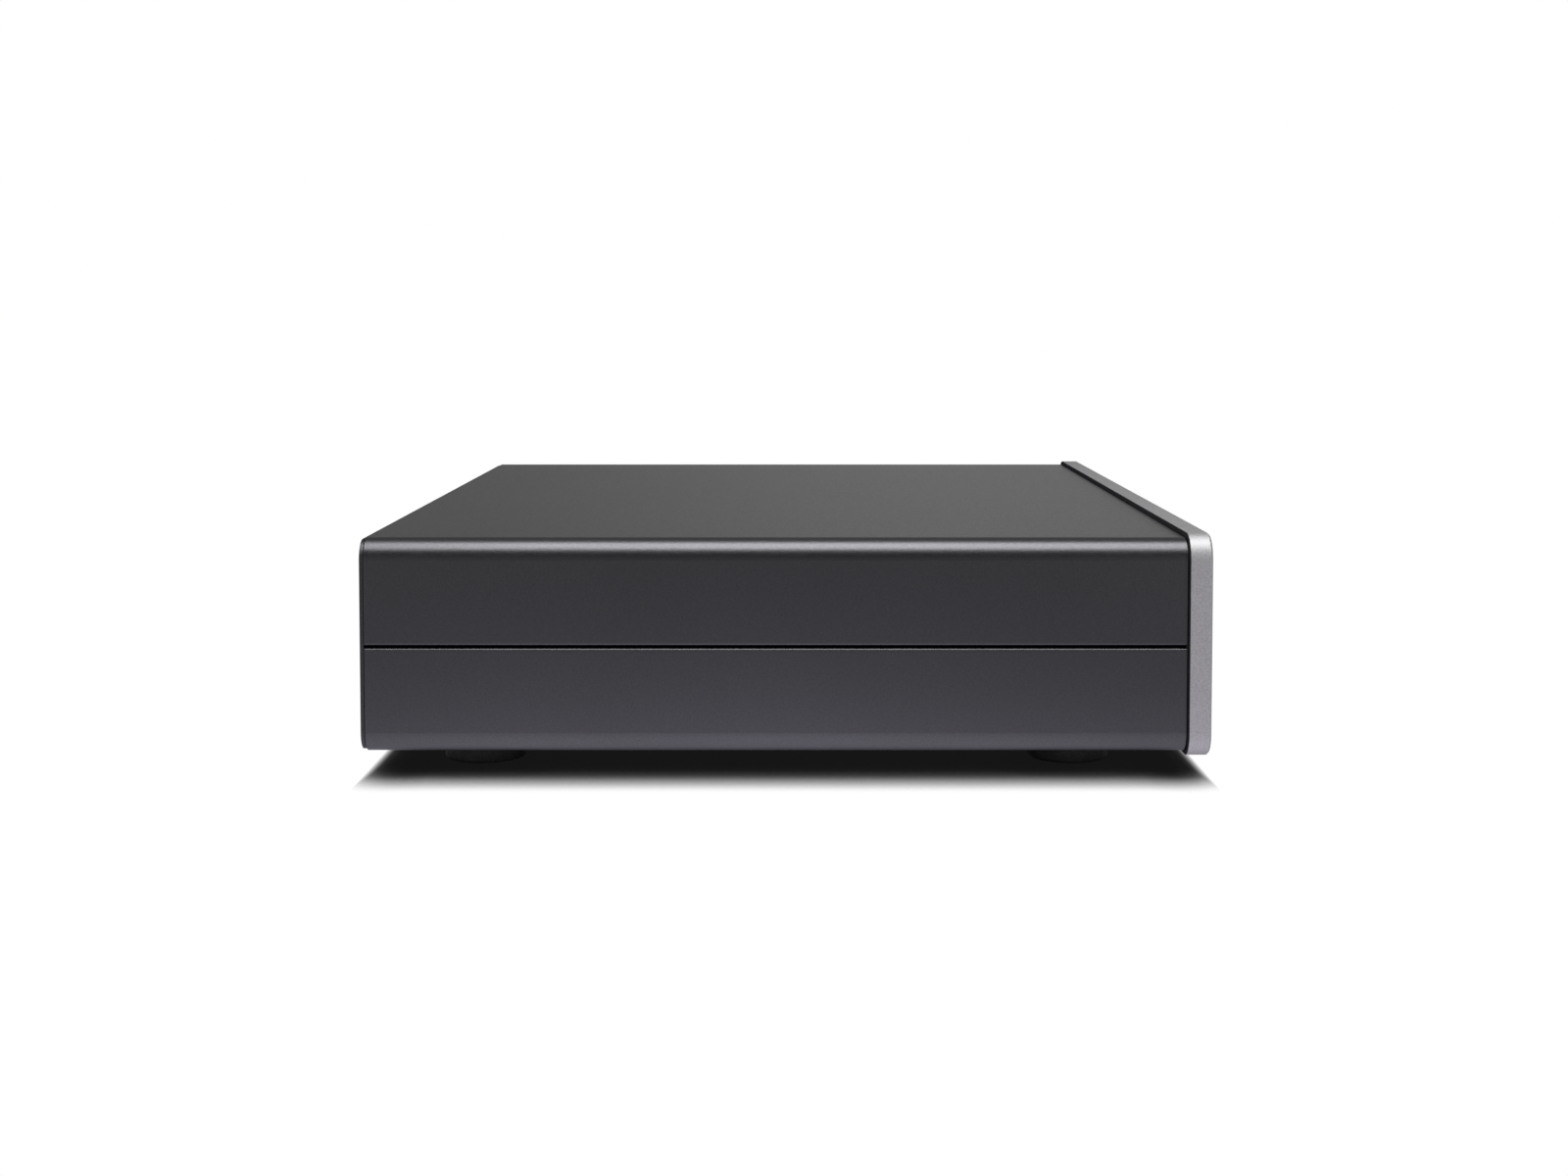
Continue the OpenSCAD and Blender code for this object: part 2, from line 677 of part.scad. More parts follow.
// Flat-head screw that points along +Z, with the flat of its head at z = 0
module flat_screw(l) {
    difference() {
        union() {
            cylinder(r = screw_r, h = l);
            cylinder(r1 = screw_head_r, r2 = screw_r, h = screw_head_r - screw_r);
        }
        translate([0, 0, -eps]) cylinder(r = drive_r, h = drive_d + eps, $fn = 6);
    }
}

// Seat for a flat-head screw, with its plain hole
module flat_seat(l) {
    cylinder(r = tapped_r, h = l);
    translate([0, 0, -eps])
        cylinder(r1 = screw_head_r + bore_gap + eps, r2 = tapped_r, h = screw_head_r - screw_r + eps);
}

// Quarter bend of a round cable, from the +X direction of its circle to +Y
module quarter_bend(bend, r) {
    rotate_extrude(angle = 90) translate([bend, 0]) circle(r);
}

// Casing

module front_outline(inset) {
    translate([0, mid_z])
        rounded_rect(panel_w - 2 * inset, panel_h - 2 * inset, panel_corner_r - inset);
}

module case_outline(inset) {
    translate([0, mid_z])
        rounded_rect(case_w - 2 * inset, case_h - 2 * inset, max(case_r - inset, 0.5));
}

module front_holes(clear) {
    for (k = [0:4]) translate([button_x[k], mid_z]) circle(button_r[k] + clear);
}

// Chamfers at the mouths of the button holes
module front_hole_edges() {
    for (k = [0:4]) {
        r = button_r[k] + button_gap;
        translate([button_x[k], front_y - eps, mid_z]) rotate([-90, 0, 0])
            cylinder(r1 = r + hole_edge + eps, r2 = r, h = hole_edge + eps);
    }
}

module front_panel() {
    color("silver") {
        difference() {
            union() {
                along_y(front_y + panel_edge, panel_back_y - panel_rear_edge) front_outline(0);
                translate([0, front_y + panel_edge, mid_z]) rotate([90, 0, 0])
                    chamfer_layer(panel_w, panel_h, panel_corner_r, panel_edge);
                translate([0, panel_back_y - panel_rear_edge, mid_z]) rotate([-90, 0, 0])
                    chamfer_layer(panel_w, panel_h, panel_corner_r, panel_rear_edge);
            }
            along_y(pocket_y, panel_back_y + 1) front_outline(pocket_rim);
            along_y(front_y - 1, pocket_y + 1) {
                front_holes(button_gap);
                translate([light_x, mid_z]) circle(light_guide_r + bore_gap);
            }
            front_hole_edges();
        }
        for (sx = [-1, 1], sz = [-1, 1])
            rod_y(sx * stud_x, mid_z + sz * stud_dz, pocket_y, stud_end_y, stud_r);
    }
}

module front_frame() {
    color("#18181a") difference() {
        union() {
            along_y(pocket_y, case_front_y) difference() {
                front_outline(pocket_rim + slide_gap);
                front_holes(button_flange + button_gap);
                translate([light_x, mid_z]) circle(light_guide_body_r + bore_gap);
                for (sx = [-1, 1], sz = [-1, 1])
                    translate([sx * stud_x, mid_z + sz * stud_dz]) circle(stud_r + slide_gap);
            }
            for (sx = [-1, 1], sz = [-1, 1])
                rod_y(sx * post_x, mid_z + sz * post_dz, case_front_y - eps, front_board_y, post_r);
            for (sz = [-1, 1])
                translate([0, case_front_y + frame_rib_d / 2, mid_z + sz * frame_rib_z])
                    cube([frame_rib_w, frame_rib_d + 2 * eps, frame_rib_t], center = true);
        }
        for (sx = [-1, 1], sz = [-1, 1]) {
            translate([sx * port_x, pocket_y, mid_z + sz * port_dz]) rotate([-90, 0, 0])
                flat_seat(pocket_depth + front_gap + 1);
            rod_y(sx * post_x, mid_z + sz * post_dz, case_front_y + post_root, front_board_y + 1,
                tapped_r);
        }
    }
}

// One half of the case skin: side is 1 for the upper half and -1 for the lower
module half_profile(side) {
    seam_z = mid_z + side * seam_gap / 2;
    difference() {
        union() {
            intersection() {
                difference() {
                    case_outline(0);
                    case_outline(case_wall);
                }
                translate([0, seam_z + side * case_h / 2]) square([2 * case_w, case_h], center = true);
            }
            for (sx = [-1, 1]) translate([sx * port_x, mid_z + side * port_dz]) circle(port_r);
        }
        for (sx = [-1, 1]) {
            translate([sx * port_x, mid_z + side * port_dz]) circle(tapped_r);
            difference() {
                translate([sx * (case_w - seam_edge_r + eps) / 2, seam_z + side * (seam_edge_r - eps) / 2])
                    square(seam_edge_r + eps, center = true);
                translate([sx * (case_w / 2 - seam_edge_r), seam_z + side * seam_edge_r])
                    circle(seam_edge_r);
            }
        }
    }
}

module top_cover() {
    color("#3c3b40") along_y(case_front_y, case_rear_y) {
        half_profile(1);
        for (sx = [-1, 1])
            translate([sx * (wall_x - (tongue_t + slide_gap) / 2 + eps), mid_z + tongue_h + ledge_h / 2])
                square([tongue_t + slide_gap + 2 * eps, ledge_h], center = true);
    }
}

module bottom_tray() {
    color("#3c3b40") difference() {
        along_y(case_front_y, case_rear_y) {
            half_profile(-1);
            for (sx = [-1, 1]) {
                translate([sx * (wall_x - slide_gap - tongue_t / 2), mid_z])
                    square([tongue_t, 2 * tongue_h], center = true);
                translate([sx * (wall_x - slide_gap / 2), mid_z - (tongue_h + seam_gap / 2) / 2])
                    square([2 * slide_gap, tongue_h - seam_gap / 2], center = true);
            }
        }
        for (p = standoff_at) translate([p[0], p[1], case_bottom_z]) flat_seat(case_wall + 1);
        for (sx = [-1, 1], y = foot_y)
            translate([sx * foot_x, y, case_bottom_z - 1]) cylinder(r = tapped_r, h = case_wall + 2);
    }
}

module rear_panel() {
    color("#232326") along_y(rear_in_y, rear_y) difference() {
        case_outline(rear_panel_inset);
        for (sx = [-1, 1], sz = [-1, 1]) translate([sx * port_x, mid_z + sz * port_dz]) circle(plain_r);
        for (x = antenna_x) translate([x, antenna_z]) circle(antenna_r + bore_gap);
        for (x = phono_x) translate([x, phono_z]) circle(phono_collar_r + cutout_gap);
        translate([optical_x, board_top + optical_h / 2])
            square([optical_w + 2 * cutout_gap, optical_h + 2 * cutout_gap], center = true);
        translate([usb_x, board_top + usb_h / 2])
            square([usb_w + 2 * cutout_gap, usb_h + 2 * cutout_gap], center = true);
        translate([ethernet_x, board_top + ethernet_h / 2])
            square([ethernet_w + 2 * cutout_gap, ethernet_h + 2 * cutout_gap], center = true);
        translate([setup_x, setup_z]) circle(setup_button_r + button_gap);
        translate([inlet_x, inlet_z])
            rounded_rect(inlet_w + 2 * cutout_gap, inlet_h + 2 * cutout_gap, inlet_corner_r + cutout_gap);
    }
}

// Rubber foot with a recess for its screw, with the shelf at z = 0
module foot(sx, y) {
    color("#141416") translate([sx * foot_x, y, 0]) rotate_extrude() difference() {
        union() {
            translate([0, foot_edge_r]) square([foot_r, case_bottom_z - foot_edge_r]);
            square([foot_r - foot_edge_r, case_bottom_z]);
            translate([foot_r - foot_edge_r, foot_edge_r]) circle(foot_edge_r);
        }
        translate([-1, -1]) square([screw_head_r + foot_recess_gap + 1, foot_recess_h + 1]);
        translate([-1, 0]) square([plain_r + 1, case_bottom_z + 1]);
    }
}

// Fasteners

module foot_screws() {
    color("gray") for (sx = [-1, 1], y = foot_y)
        translate([sx * foot_x, y, foot_recess_h])
            pan_screw(case_bottom_z - foot_recess_h + case_wall + foot_screw_tail);
}

module case_screws() {
    color("gray") for (sx = [-1, 1], sz = [-1, 1]) {
        translate([sx * port_x, pocket_y, mid_z + sz * port_dz]) rotate([-90, 0, 0])
            flat_screw(case_screw_l);
        translate([sx * port_x, rear_y, mid_z + sz * port_dz]) rotate([90, 0, 0])
            pan_screw(case_screw_l);
    }
}

module fascia_nuts() {
    color("gray") for (sx = [-1, 1], sz = [-1, 1])
        translate([sx * stud_x, case_front_y, mid_z + sz * stud_dz]) rotate([-90, 0, 0]) difference() {
            cylinder(r = stud_nut_af / sqrt(3), h = stud_nut_t, $fn = 6);
            translate([0, 0, -1]) cylinder(r = stud_r + bore_gap, h = stud_nut_t + 2);
        }
}

module standoffs() {
    color("gold") for (p = standoff_at) translate([p[0], p[1], floor_z]) difference() {
        cylinder(r = standoff_af / sqrt(3), h = standoff_h, $fn = 6);
        translate([0, 0, -1]) cylinder(r = tapped_r, h = standoff_h + 2);
    }
}

module tray_screws() {
    color("gray") for (p = standoff_at)
        translate([p[0], p[1], case_bottom_z]) flat_screw(case_wall + (standoff_h - screw_end_gap) / 2);
}

module board_screws() {
    color("gray") {
        for (p = standoff_at)
            translate([p[0], p[1], board_top]) rotate([180, 0, 0])
                pan_screw(pcb_t + (standoff_h - screw_end_gap) / 2);
        for (sx = [-1, 1], sz = [-1, 1])
            translate([sx * post_x, front_board_y + pcb_t, mid_z + sz * post_dz]) rotate([90, 0, 0])
                pan_screw(pcb_t + front_board_gap / 2);
    }
}

// Front controls

// Push button: cap, flange behind the panel and stem down to the switch
module push_button(x, r) {
    top_y = front_y - button_proud;
    dish_r = r - button_edge_r - button_rim;
    ball_r = (dish_r * dish_r + button_dish * button_dish) / (2 * button_dish);
    turned_y(x, mid_z) difference() {
        union() {
            turned_band(0, r, top_y + button_edge_r, flange_y + eps);
            turned_band(0, r - button_edge_r, top_y, top_y + 2 * button_edge_r);
            translate([r - button_edge_r, top_y + button_edge_r]) circle(button_edge_r);
            turned_band(0, r + button_flange, flange_y, flange_y + button_flange_t);
            turned_band(0, button_stem_r, flange_y, stem_end_y);
        }
        translate([0, top_y + button_dish - ball_r]) circle(ball_r, $fn = 256);
        translate([-2 * ball_r, -4 * ball_r]) square([2 * ball_r, 8 * ball_r]);
    }
}

module power_button() {
    color("#b9b8bc") push_button(power_x, power_button_r);
}

module preset_button(k) {
    color("#b9b8bc") push_button(preset_x[k], preset_button_r);
}

module plunger(x) {
    color("#222222") rod_y(x, mid_z, stem_end_y, switch_y + plunger_seat, plunger_r);
}

module front_switches() {
    color("#303236") for (x = button_x) difference() {
        box_at(x, switch_y, mid_z - switch_w / 2, switch_w, switch_h, switch_w);
        rod_y(x, mid_z, switch_y - 1, switch_y + plunger_seat + button_travel + button_gap,
            plunger_r + button_gap);
    }
}

module light_guide() {
    color("white") {
        rod_y(light_x, mid_z, front_y, pocket_y + eps, light_guide_r);
        rod_y(light_x, mid_z, pocket_y, front_board_y - led_h, light_guide_body_r);
    }
}

module indicator_led() {
    color("ivory") box_at(light_x, front_board_y - led_h, mid_z - led_w / 2, led_w, led_h, led_w);
}

module front_board() {
    color("darkgreen") difference() {
        box_at(0, front_board_y, mid_z - front_board_h / 2, front_board_w, pcb_t, front_board_h);
        for (sx = [-1, 1], sz = [-1, 1])
            rod_y(sx * post_x, mid_z + sz * post_dz, front_board_y - 1, front_board_y + pcb_t + 1, plain_r);
    }
}

// Rear controls

// Long stem of the setup switch, with the shoulder that keeps it behind the panel
module setup_button() {
    color("#1b1b1d") {
        rod_y(setup_x, setup_z, setup_shoulder_y, rear_y + button_travel + setup_proud, setup_button_r);
        rod_y(setup_x, setup_z, setup_shoulder_y, rear_in_y - rest_gap, setup_button_r + setup_shoulder_w);
        rod_y(setup_x, setup_z, setup_switch_y - plunger_seat, setup_shoulder_y + eps, setup_stem_r);
    }
}

module setup_switch() {
    color("#303236") difference() {
        box_at(setup_x, setup_switch_y - switch_h, board_top,
            switch_w, switch_h, setup_axis_h + switch_w / 2);
        rod_y(setup_x, setup_z, setup_switch_y - plunger_seat - button_travel - button_gap,
            setup_switch_y + 1, setup_stem_r + button_gap);
    }
}

// Rear sockets

module mains_inlet() {
    color("#19191b") difference() {
        along_y(face_y - inlet_d, face_y) translate([inlet_x, inlet_z])
            rounded_rect(inlet_w, inlet_h, inlet_corner_r);
        along_y(face_y - inlet_recess_d, face_y + 1) translate([inlet_x, inlet_z])
            slot_shape(inlet_pin_pitch, inlet_recess_r);
    }
}

module mains_pins() {
    color("#d8d4c8") for (s = [-1, 1])
        rod_y(inlet_x + s * inlet_pin_pitch / 2, inlet_z, face_y - inlet_recess_d,
            face_y - inlet_recess_d + inlet_pin_l, inlet_pin_r);
}

module phono_blocks() {
    color("#1c1c1e") {
        box_at((line_left_x + line_right_x) / 2, phono_face_y - phono_block_d, board_top,
            phono_pitch + phono_block_w, phono_block_d, phono_axis_h + phono_half);
        box_at(coaxial_x, phono_face_y - phono_block_d, board_top,
            phono_block_w, phono_block_d, phono_axis_h + phono_half);
    }
}

module phono_shells() {
    color("gold") for (x = phono_x) turned_y(x, phono_z) {
        turned_band(phono_r - phono_wall, phono_neck_r, phono_face_y + phono_disc_t, phono_collar_y + eps);
        turned_band(phono_r - phono_wall, phono_r, phono_collar_y, tip_y);
    }
}

module phono_insert(x) {
    turned_y(x, phono_z) {
        turned_band(0, phono_collar_r, phono_face_y, phono_face_y + phono_disc_t);
        turned_band(phono_neck_r + bore_gap, phono_collar_r, phono_face_y, phono_collar_y);
        turned_band(phono_pin_r, phono_r - phono_wall - bore_gap, phono_face_y, tip_y - phono_recess);
    }
}

module line_left_insert() {
    color("white") phono_insert(line_left_x);
}

module line_right_insert() {
    color("red") phono_insert(line_right_x);
}

module coaxial_insert() {
    color("orange") phono_insert(coaxial_x);
}

module optical_socket() {
    color("#161618") difference() {
        box_at(optical_x, face_y - optical_d, board_top, optical_w, optical_d, optical_h);
        box_at(optical_x, face_y - optical_cavity_d, optical_cavity_z,
            optical_cavity_w, optical_cavity_d + 1, optical_cavity_h);
        rod_y(optical_x, board_top + optical_h / 2, face_y - optical_cavity_d - optical_port_d,
            face_y - optical_cavity_d + 1, optical_port_r);
        translate([optical_x, shutter_y, shutter_z]) rotate([0, 90, 0])
            cylinder(r = shutter_pin_r + bore_gap, h = shutter_pin_span + 2 * shutter_pin_gap, center = true);
    }
}

module optical_shutter() {
    color("#101012") {
        translate([optical_x, shutter_y, shutter_z]) rotate([0, 90, 0]) {
            cylinder(r = shutter_barrel_r, h = optical_cavity_w - 2 * shutter_gap, center = true);
            cylinder(r = shutter_pin_r, h = shutter_pin_span, center = true);
        }
        box_at(optical_x, shutter_y - shutter_t / 2, optical_cavity_z + shutter_gap,
            optical_cavity_w - 2 * shutter_gap, shutter_t, shutter_z - optical_cavity_z - shutter_gap);
    }
}

module usb_shell() {
    color("silver") difference() {
        box_at(usb_x, face_y - usb_d, board_top, usb_w, usb_d, usb_h);
        box_at(usb_x, usb_back_y, board_top + usb_wall,
            usb_w - 2 * usb_wall, usb_d, usb_h - 2 * usb_wall);
    }
}

module usb_tongue() {
    color("white") {
        box_at(usb_x, usb_back_y, board_top + usb_wall,
            usb_w - 2 * usb_wall, usb_back_d, usb_h - 2 * usb_wall);
        box_at(usb_x, usb_back_y, usb_tongue_z,
            usb_w - 2 * (usb_wall + usb_tongue_side), usb_d - usb_wall - usb_tongue_recess, usb_tongue_t);
    }
}

module ethernet_opening() {
    translate([ethernet_x - ethernet_open_w / 2, ethernet_open_z]) square([ethernet_open_w, ethernet_open_h]);
    translate([ethernet_x - ethernet_latch_w / 2, ethernet_open_z])
        square([ethernet_latch_w, ethernet_open_h + ethernet_latch_h]);
}

module ethernet_shield() {
    color("silver") difference() {
        box_at(ethernet_x, face_y - ethernet_d, board_top, ethernet_w, ethernet_d, ethernet_h);
        box_at(ethernet_x, ethernet_back_y, board_top + ethernet_wall,
            ethernet_w - 2 * ethernet_wall, ethernet_d, ethernet_h - 2 * ethernet_wall);
    }
}

module ethernet_insert() {
    color("#1a1a1c") difference() {
        box_at(ethernet_x, ethernet_back_y, board_top + ethernet_wall,
            ethernet_w - 2 * ethernet_wall, face_y - ethernet_recess - ethernet_back_y,
            ethernet_h - 2 * ethernet_wall);
        along_y(face_y - ethernet_open_d, face_y + 1) ethernet_opening();
    }
}

module antenna_jacks() {
    color("gold") for (x = antenna_x) turned_y(x, antenna_z) {
        turned_band(0, lead_r + antenna_tail_w, antenna_tail_y, rear_in_y);
        turned_band(0, antenna_r + antenna_flange_w, rear_in_y - antenna_flange_t, rear_in_y);
        turned_band(0, antenna_neck_r, rear_in_y - eps, tip_y - antenna_bore_d);
        turned_band(antenna_bore_r, antenna_neck_r, rear_in_y, rear_y + antenna_nut_t + eps);
        turned_band(antenna_bore_r, antenna_r, rear_y + antenna_nut_t, tip_y);
    }
}

module antenna_nuts() {
    color("gold") for (x = antenna_x) translate([x, rear_y, antenna_z]) rotate([-90, 0, 0]) difference() {
        cylinder(r = antenna_half, h = antenna_nut_t, $fn = 6);
        translate([0, 0, -1]) cylinder(r = antenna_neck_r + bore_gap, h = antenna_nut_t + 2);
    }
}

module antenna_cores() {
    color("white") for (x = antenna_x) turned_y(x, antenna_z)
        turned_band(antenna_core_hole_r, antenna_bore_r - bore_gap, tip_y - antenna_bore_d,
            tip_y - antenna_core_recess);
}

// Boards and what stands on them

module board(x0, x1, y0, screws) {
    difference() {
        translate([x0, y0, board_z]) cube([x1 - x0, board_rear_y - y0, pcb_t]);
        for (p = screws) translate([p[0], p[1], board_z - 1]) cylinder(r = plain_r, h = pcb_t + 2);
    }
}

module main_board() {
    color("darkgreen") board(main_x0, main_x1, main_y0, main_screws);
}

module power_board() {
    color("#8a6a3a") board(power_x0, power_x1, power_y0, power_screws);
}

module main_chips() {
    color("#222426") for (k = [0:len(chip_w) - 1])
        box_at(main_x1 - chip_side + chip_pitch * k, main_y0 + chip_front, board_top,
            chip_w[k], chip_w[k], chip_h);
}

module filter_capacitors() {
    color("#20242c") for (i = [0:3], j = [0:1])
        translate([main_x1 - capacitor_side, main_y0 + capacitor_front, board_top])
            translate([capacitor_pitch * i, capacitor_pitch * j, 0]) cylinder(r = capacitor_r, h = capacitor_h);
}

module network_board() {
    color("navy") translate([net_x0, net_y0, net_top - net_t]) cube([net_w, net_d, net_t]);
}

module network_shield() {
    color("silver") {
        translate([net_x0 + net_shield_side, net_y0 + net_margin, net_top])
            cube([net_shield_w, net_shield_d, net_shield_h]);
        for (k = [0:1]) translate([lead_x[k], lead_y[k], net_top]) cylinder(r = net_plug_r, h = net_plug_h);
    }
}

// Cable headers on the three boards, and the header under the radio module
module board_headers() {
    color("ivory") {
        box_at(ribbon_x, front_board_y + pcb_t, ribbon_z0 - header_h / 2,
            ribbon_w + 2 * header_side, header_d, header_h);
        box_at(ribbon_x, ribbon_y1, board_top, ribbon_w + 2 * header_side, header_d, header_h);
        for (x = harness_x)
            box_at(x, harness_y - wire_pitch, board_top,
                header_d, (wire_count + 1) * wire_pitch, header_h);
        box_at(net_x0 + net_w / 2, net_y0 + net_margin, board_top,
            net_w - 2 * net_margin, header_d, net_lift);
    }
}

module power_transformer() {
    y = power_y0 + core_front;
    window_z = board_top + (core_h - window_h) / 2;
    color("#3a3a34") difference() {
        box_at(inlet_x, y, board_top, core_w, core_d, core_h);
        for (s = [-1, 1])
            box_at(inlet_x + s * core_w / 4, y - 1, window_z, window_w, core_d + 2, window_h);
    }
    color("goldenrod")
        box_at(inlet_x, y - winding_proud, window_z,
            core_w / 2 + window_w, core_d + 2 * winding_proud, window_h);
}

// Can with a bead rolled in above its base
module bulk_capacitor() {
    color("#15181e") translate([inlet_x, board_rear_y - bulk_rear, board_top]) difference() {
        cylinder(r = bulk_r, h = bulk_h);
        translate([0, 0, bulk_bead_z]) rotate_extrude() translate([bulk_r, 0]) circle(bulk_bead);
    }
}

module mains_choke() {
    color("#7a3f1c") translate([inlet_x, board_rear_y - choke_rear, board_top]) {
        translate([0, 0, choke_wire_r + slide_gap]) rotate_extrude() translate([choke_r, 0])
            circle(choke_wire_r);
        cylinder(r = choke_r, h = choke_wire_r);
    }
}

module heatsink() {
    fins = floor((heatsink_l - fin_t) / (fin_gap + fin_t));
    color("#202022") translate([power_x0 + heatsink_side, power_y0 + heatsink_front, board_top])
        linear_extrude(heatsink_h) {
            square([heatsink_l, heatsink_web]);
            for (k = [0:fins]) translate([k * (fin_gap + fin_t), 0]) square([fin_t, heatsink_d]);
        }
}

// Cables

function ease(u) = u * u * (3 - 2 * u);
ribbon_steps = 24;
module ribbon_cable() {
    path = [
        for (k = [0:ribbon_steps])
        let (u = k / ribbon_steps)
        [ribbon_y0 + (ribbon_y1 - ribbon_y0) * u, ribbon_z0 + (ribbon_z1 - ribbon_z0) * ease(u)]
    ];
    back = [for (k = [ribbon_steps:-1:0]) path[k] + [0, ribbon_t]];
    color("whitesmoke") translate([ribbon_x - ribbon_w / 2, 0, 0]) rotate([90, 0, 90])
        linear_extrude(ribbon_w) polygon(concat(path, back));
}

// Power harness over the gap between the boards, and the two antenna leads
module leads() {
    arch = (harness_x[1] - harness_x[0]) / 2;
    color("crimson") for (k = [0:wire_count - 1])
        translate([(harness_x[0] + harness_x[1]) / 2, harness_y + k * wire_pitch, board_top + header_h])
            rotate([90, 0, 0]) rotate_extrude(angle = 180) translate([arch, 0]) circle(wire_r);
    color("#2a2a2e") {
        antenna_lead_left();
        antenna_lead_right();
    }
}

// Straight forward from the jack, then down onto the radio module
module antenna_lead_left() {
    rod_y(lead_x[0], antenna_z, lead_y[0] + lead_bend, antenna_tail_y, lead_r);
    translate([lead_x[0], lead_y[0] + lead_bend, lead_drop_z]) rotate([90, 0, -90])
        quarter_bend(lead_bend, lead_r);
    translate([lead_x[0], lead_y[0], plug_top]) cylinder(r = lead_r, h = lead_drop_z - plug_top);
}

// Forward from the jack, across to the left and down onto the radio module
module antenna_lead_right() {
    rod_y(antenna_right_x, antenna_z, lead_y[1] + lead_bend, antenna_tail_y, lead_r);
    translate([antenna_right_x - lead_bend, lead_y[1] + lead_bend, antenna_z]) rotate([0, 0, -90])
        quarter_bend(lead_bend, lead_r);
    translate([lead_x[1] + lead_bend, lead_y[1], antenna_z]) rotate([0, 90, 0])
        cylinder(r = lead_r, h = antenna_right_x - lead_x[1] - 2 * lead_bend);
    translate([lead_x[1] + lead_bend, lead_y[1], lead_drop_z]) rotate([90, 0, 0]) rotate([0, 0, 90])
        quarter_bend(lead_bend, lead_r);
    translate([lead_x[1], lead_y[1], plug_top]) cylinder(r = lead_r, h = lead_drop_z - plug_top);
}

front_panel();
front_frame();
top_cover();
bottom_tray();
rear_panel();
foot(-1, foot_y[0]);  // foot_front_left
foot(1, foot_y[0]);  // foot_front_right
foot(-1, foot_y[1]);  // foot_rear_left
foot(1, foot_y[1]);  // foot_rear_right
foot_screws();
case_screws();
fascia_nuts();
standoffs();
tray_screws();
board_screws();
power_button();
for (k = [0:3]) preset_button(k);
plunger(power_x);  // power_plunger
for (k = [0:3]) plunger(preset_x[k]);
light_guide();
indicator_led();
front_board();
front_switches();
setup_button();
setup_switch();
mains_inlet();
mains_pins();
phono_blocks();
phono_shells();
line_left_insert();
line_right_insert();
coaxial_insert();
optical_socket();
optical_shutter();
usb_shell();
usb_tongue();
ethernet_shield();
ethernet_insert();
antenna_jacks();
antenna_nuts();
antenna_cores();
main_board();
main_chips();
filter_capacitors();
network_board();
network_shield();
board_headers();
power_board();
power_transformer();
bulk_capacitor();
mains_choke();
heatsink();
ribbon_cable();
leads();
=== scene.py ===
"""Looks of a half-width network music streamer: finishes, small fittings, studio and camera."""

import json
import math

import bmesh
import bpy
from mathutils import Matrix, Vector


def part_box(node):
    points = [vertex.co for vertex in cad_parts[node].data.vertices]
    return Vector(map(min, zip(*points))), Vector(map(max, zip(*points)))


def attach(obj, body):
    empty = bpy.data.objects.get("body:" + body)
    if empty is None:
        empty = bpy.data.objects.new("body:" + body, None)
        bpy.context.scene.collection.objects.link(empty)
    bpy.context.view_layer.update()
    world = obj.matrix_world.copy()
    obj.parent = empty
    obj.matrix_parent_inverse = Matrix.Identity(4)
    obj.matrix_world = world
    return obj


MM = 0.001

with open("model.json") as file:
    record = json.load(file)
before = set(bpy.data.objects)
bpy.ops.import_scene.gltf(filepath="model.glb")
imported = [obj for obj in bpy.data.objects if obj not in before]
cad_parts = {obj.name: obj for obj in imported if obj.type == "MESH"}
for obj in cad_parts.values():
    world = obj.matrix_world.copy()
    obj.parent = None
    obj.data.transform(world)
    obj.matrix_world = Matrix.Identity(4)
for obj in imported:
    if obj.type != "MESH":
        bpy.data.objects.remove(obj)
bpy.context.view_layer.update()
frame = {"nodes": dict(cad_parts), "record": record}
nodes = frame["nodes"]


def middle(node):
    """Centre of a CAD node's box and its size, in millimetres."""
    low, high = (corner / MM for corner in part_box(node))
    return (low + high) / 2, high - low


panel_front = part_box("front_panel")[0].y / MM
rear_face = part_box("rear_panel")[1].y / MM


def math_node(tree, operation, first, second=0):
    """Result of a Math node on two values, each a socket or a plain number."""
    made = tree.nodes.new("ShaderNodeMath")
    made.operation = operation
    for socket, value in zip(made.inputs, (first, second)):
        if isinstance(value, (int, float)):
            socket.default_value = value
        else:
            tree.links.new(value, socket)
    return made.outputs["Value"]


def ray_kinds(tree):
    """Sockets that are 1 for camera rays, and for rays that metal, plastic or glass sends on."""
    rays = tree.nodes.new("ShaderNodeLightPath").outputs
    mirrored = math_node(tree, "MAXIMUM", rays["Is Glossy Ray"], rays["Is Transmission Ray"])
    return rays["Is Camera Ray"], mirrored


# Finishes

NOISE_ROUGHNESS = 0.55
NOISE_LOW, NOISE_HIGH = 0.3, 0.7  # most of the noise lies between these
SHADE_LOW, SHADE_HIGH = 0.5, 1.5  # widest span of a mottled colour
BEVEL_SAMPLES = 6
RUBBED, UNTOUCHED = 0.8, 0.99  # cosine of the turn between a softened edge and its face
WEAR_PATCH = 1.2
WEAR_LEAST = 0.2
MIX_COLOURS = (6, 7)  # the colour inputs of a Mix node
MIX_RESULT = 2


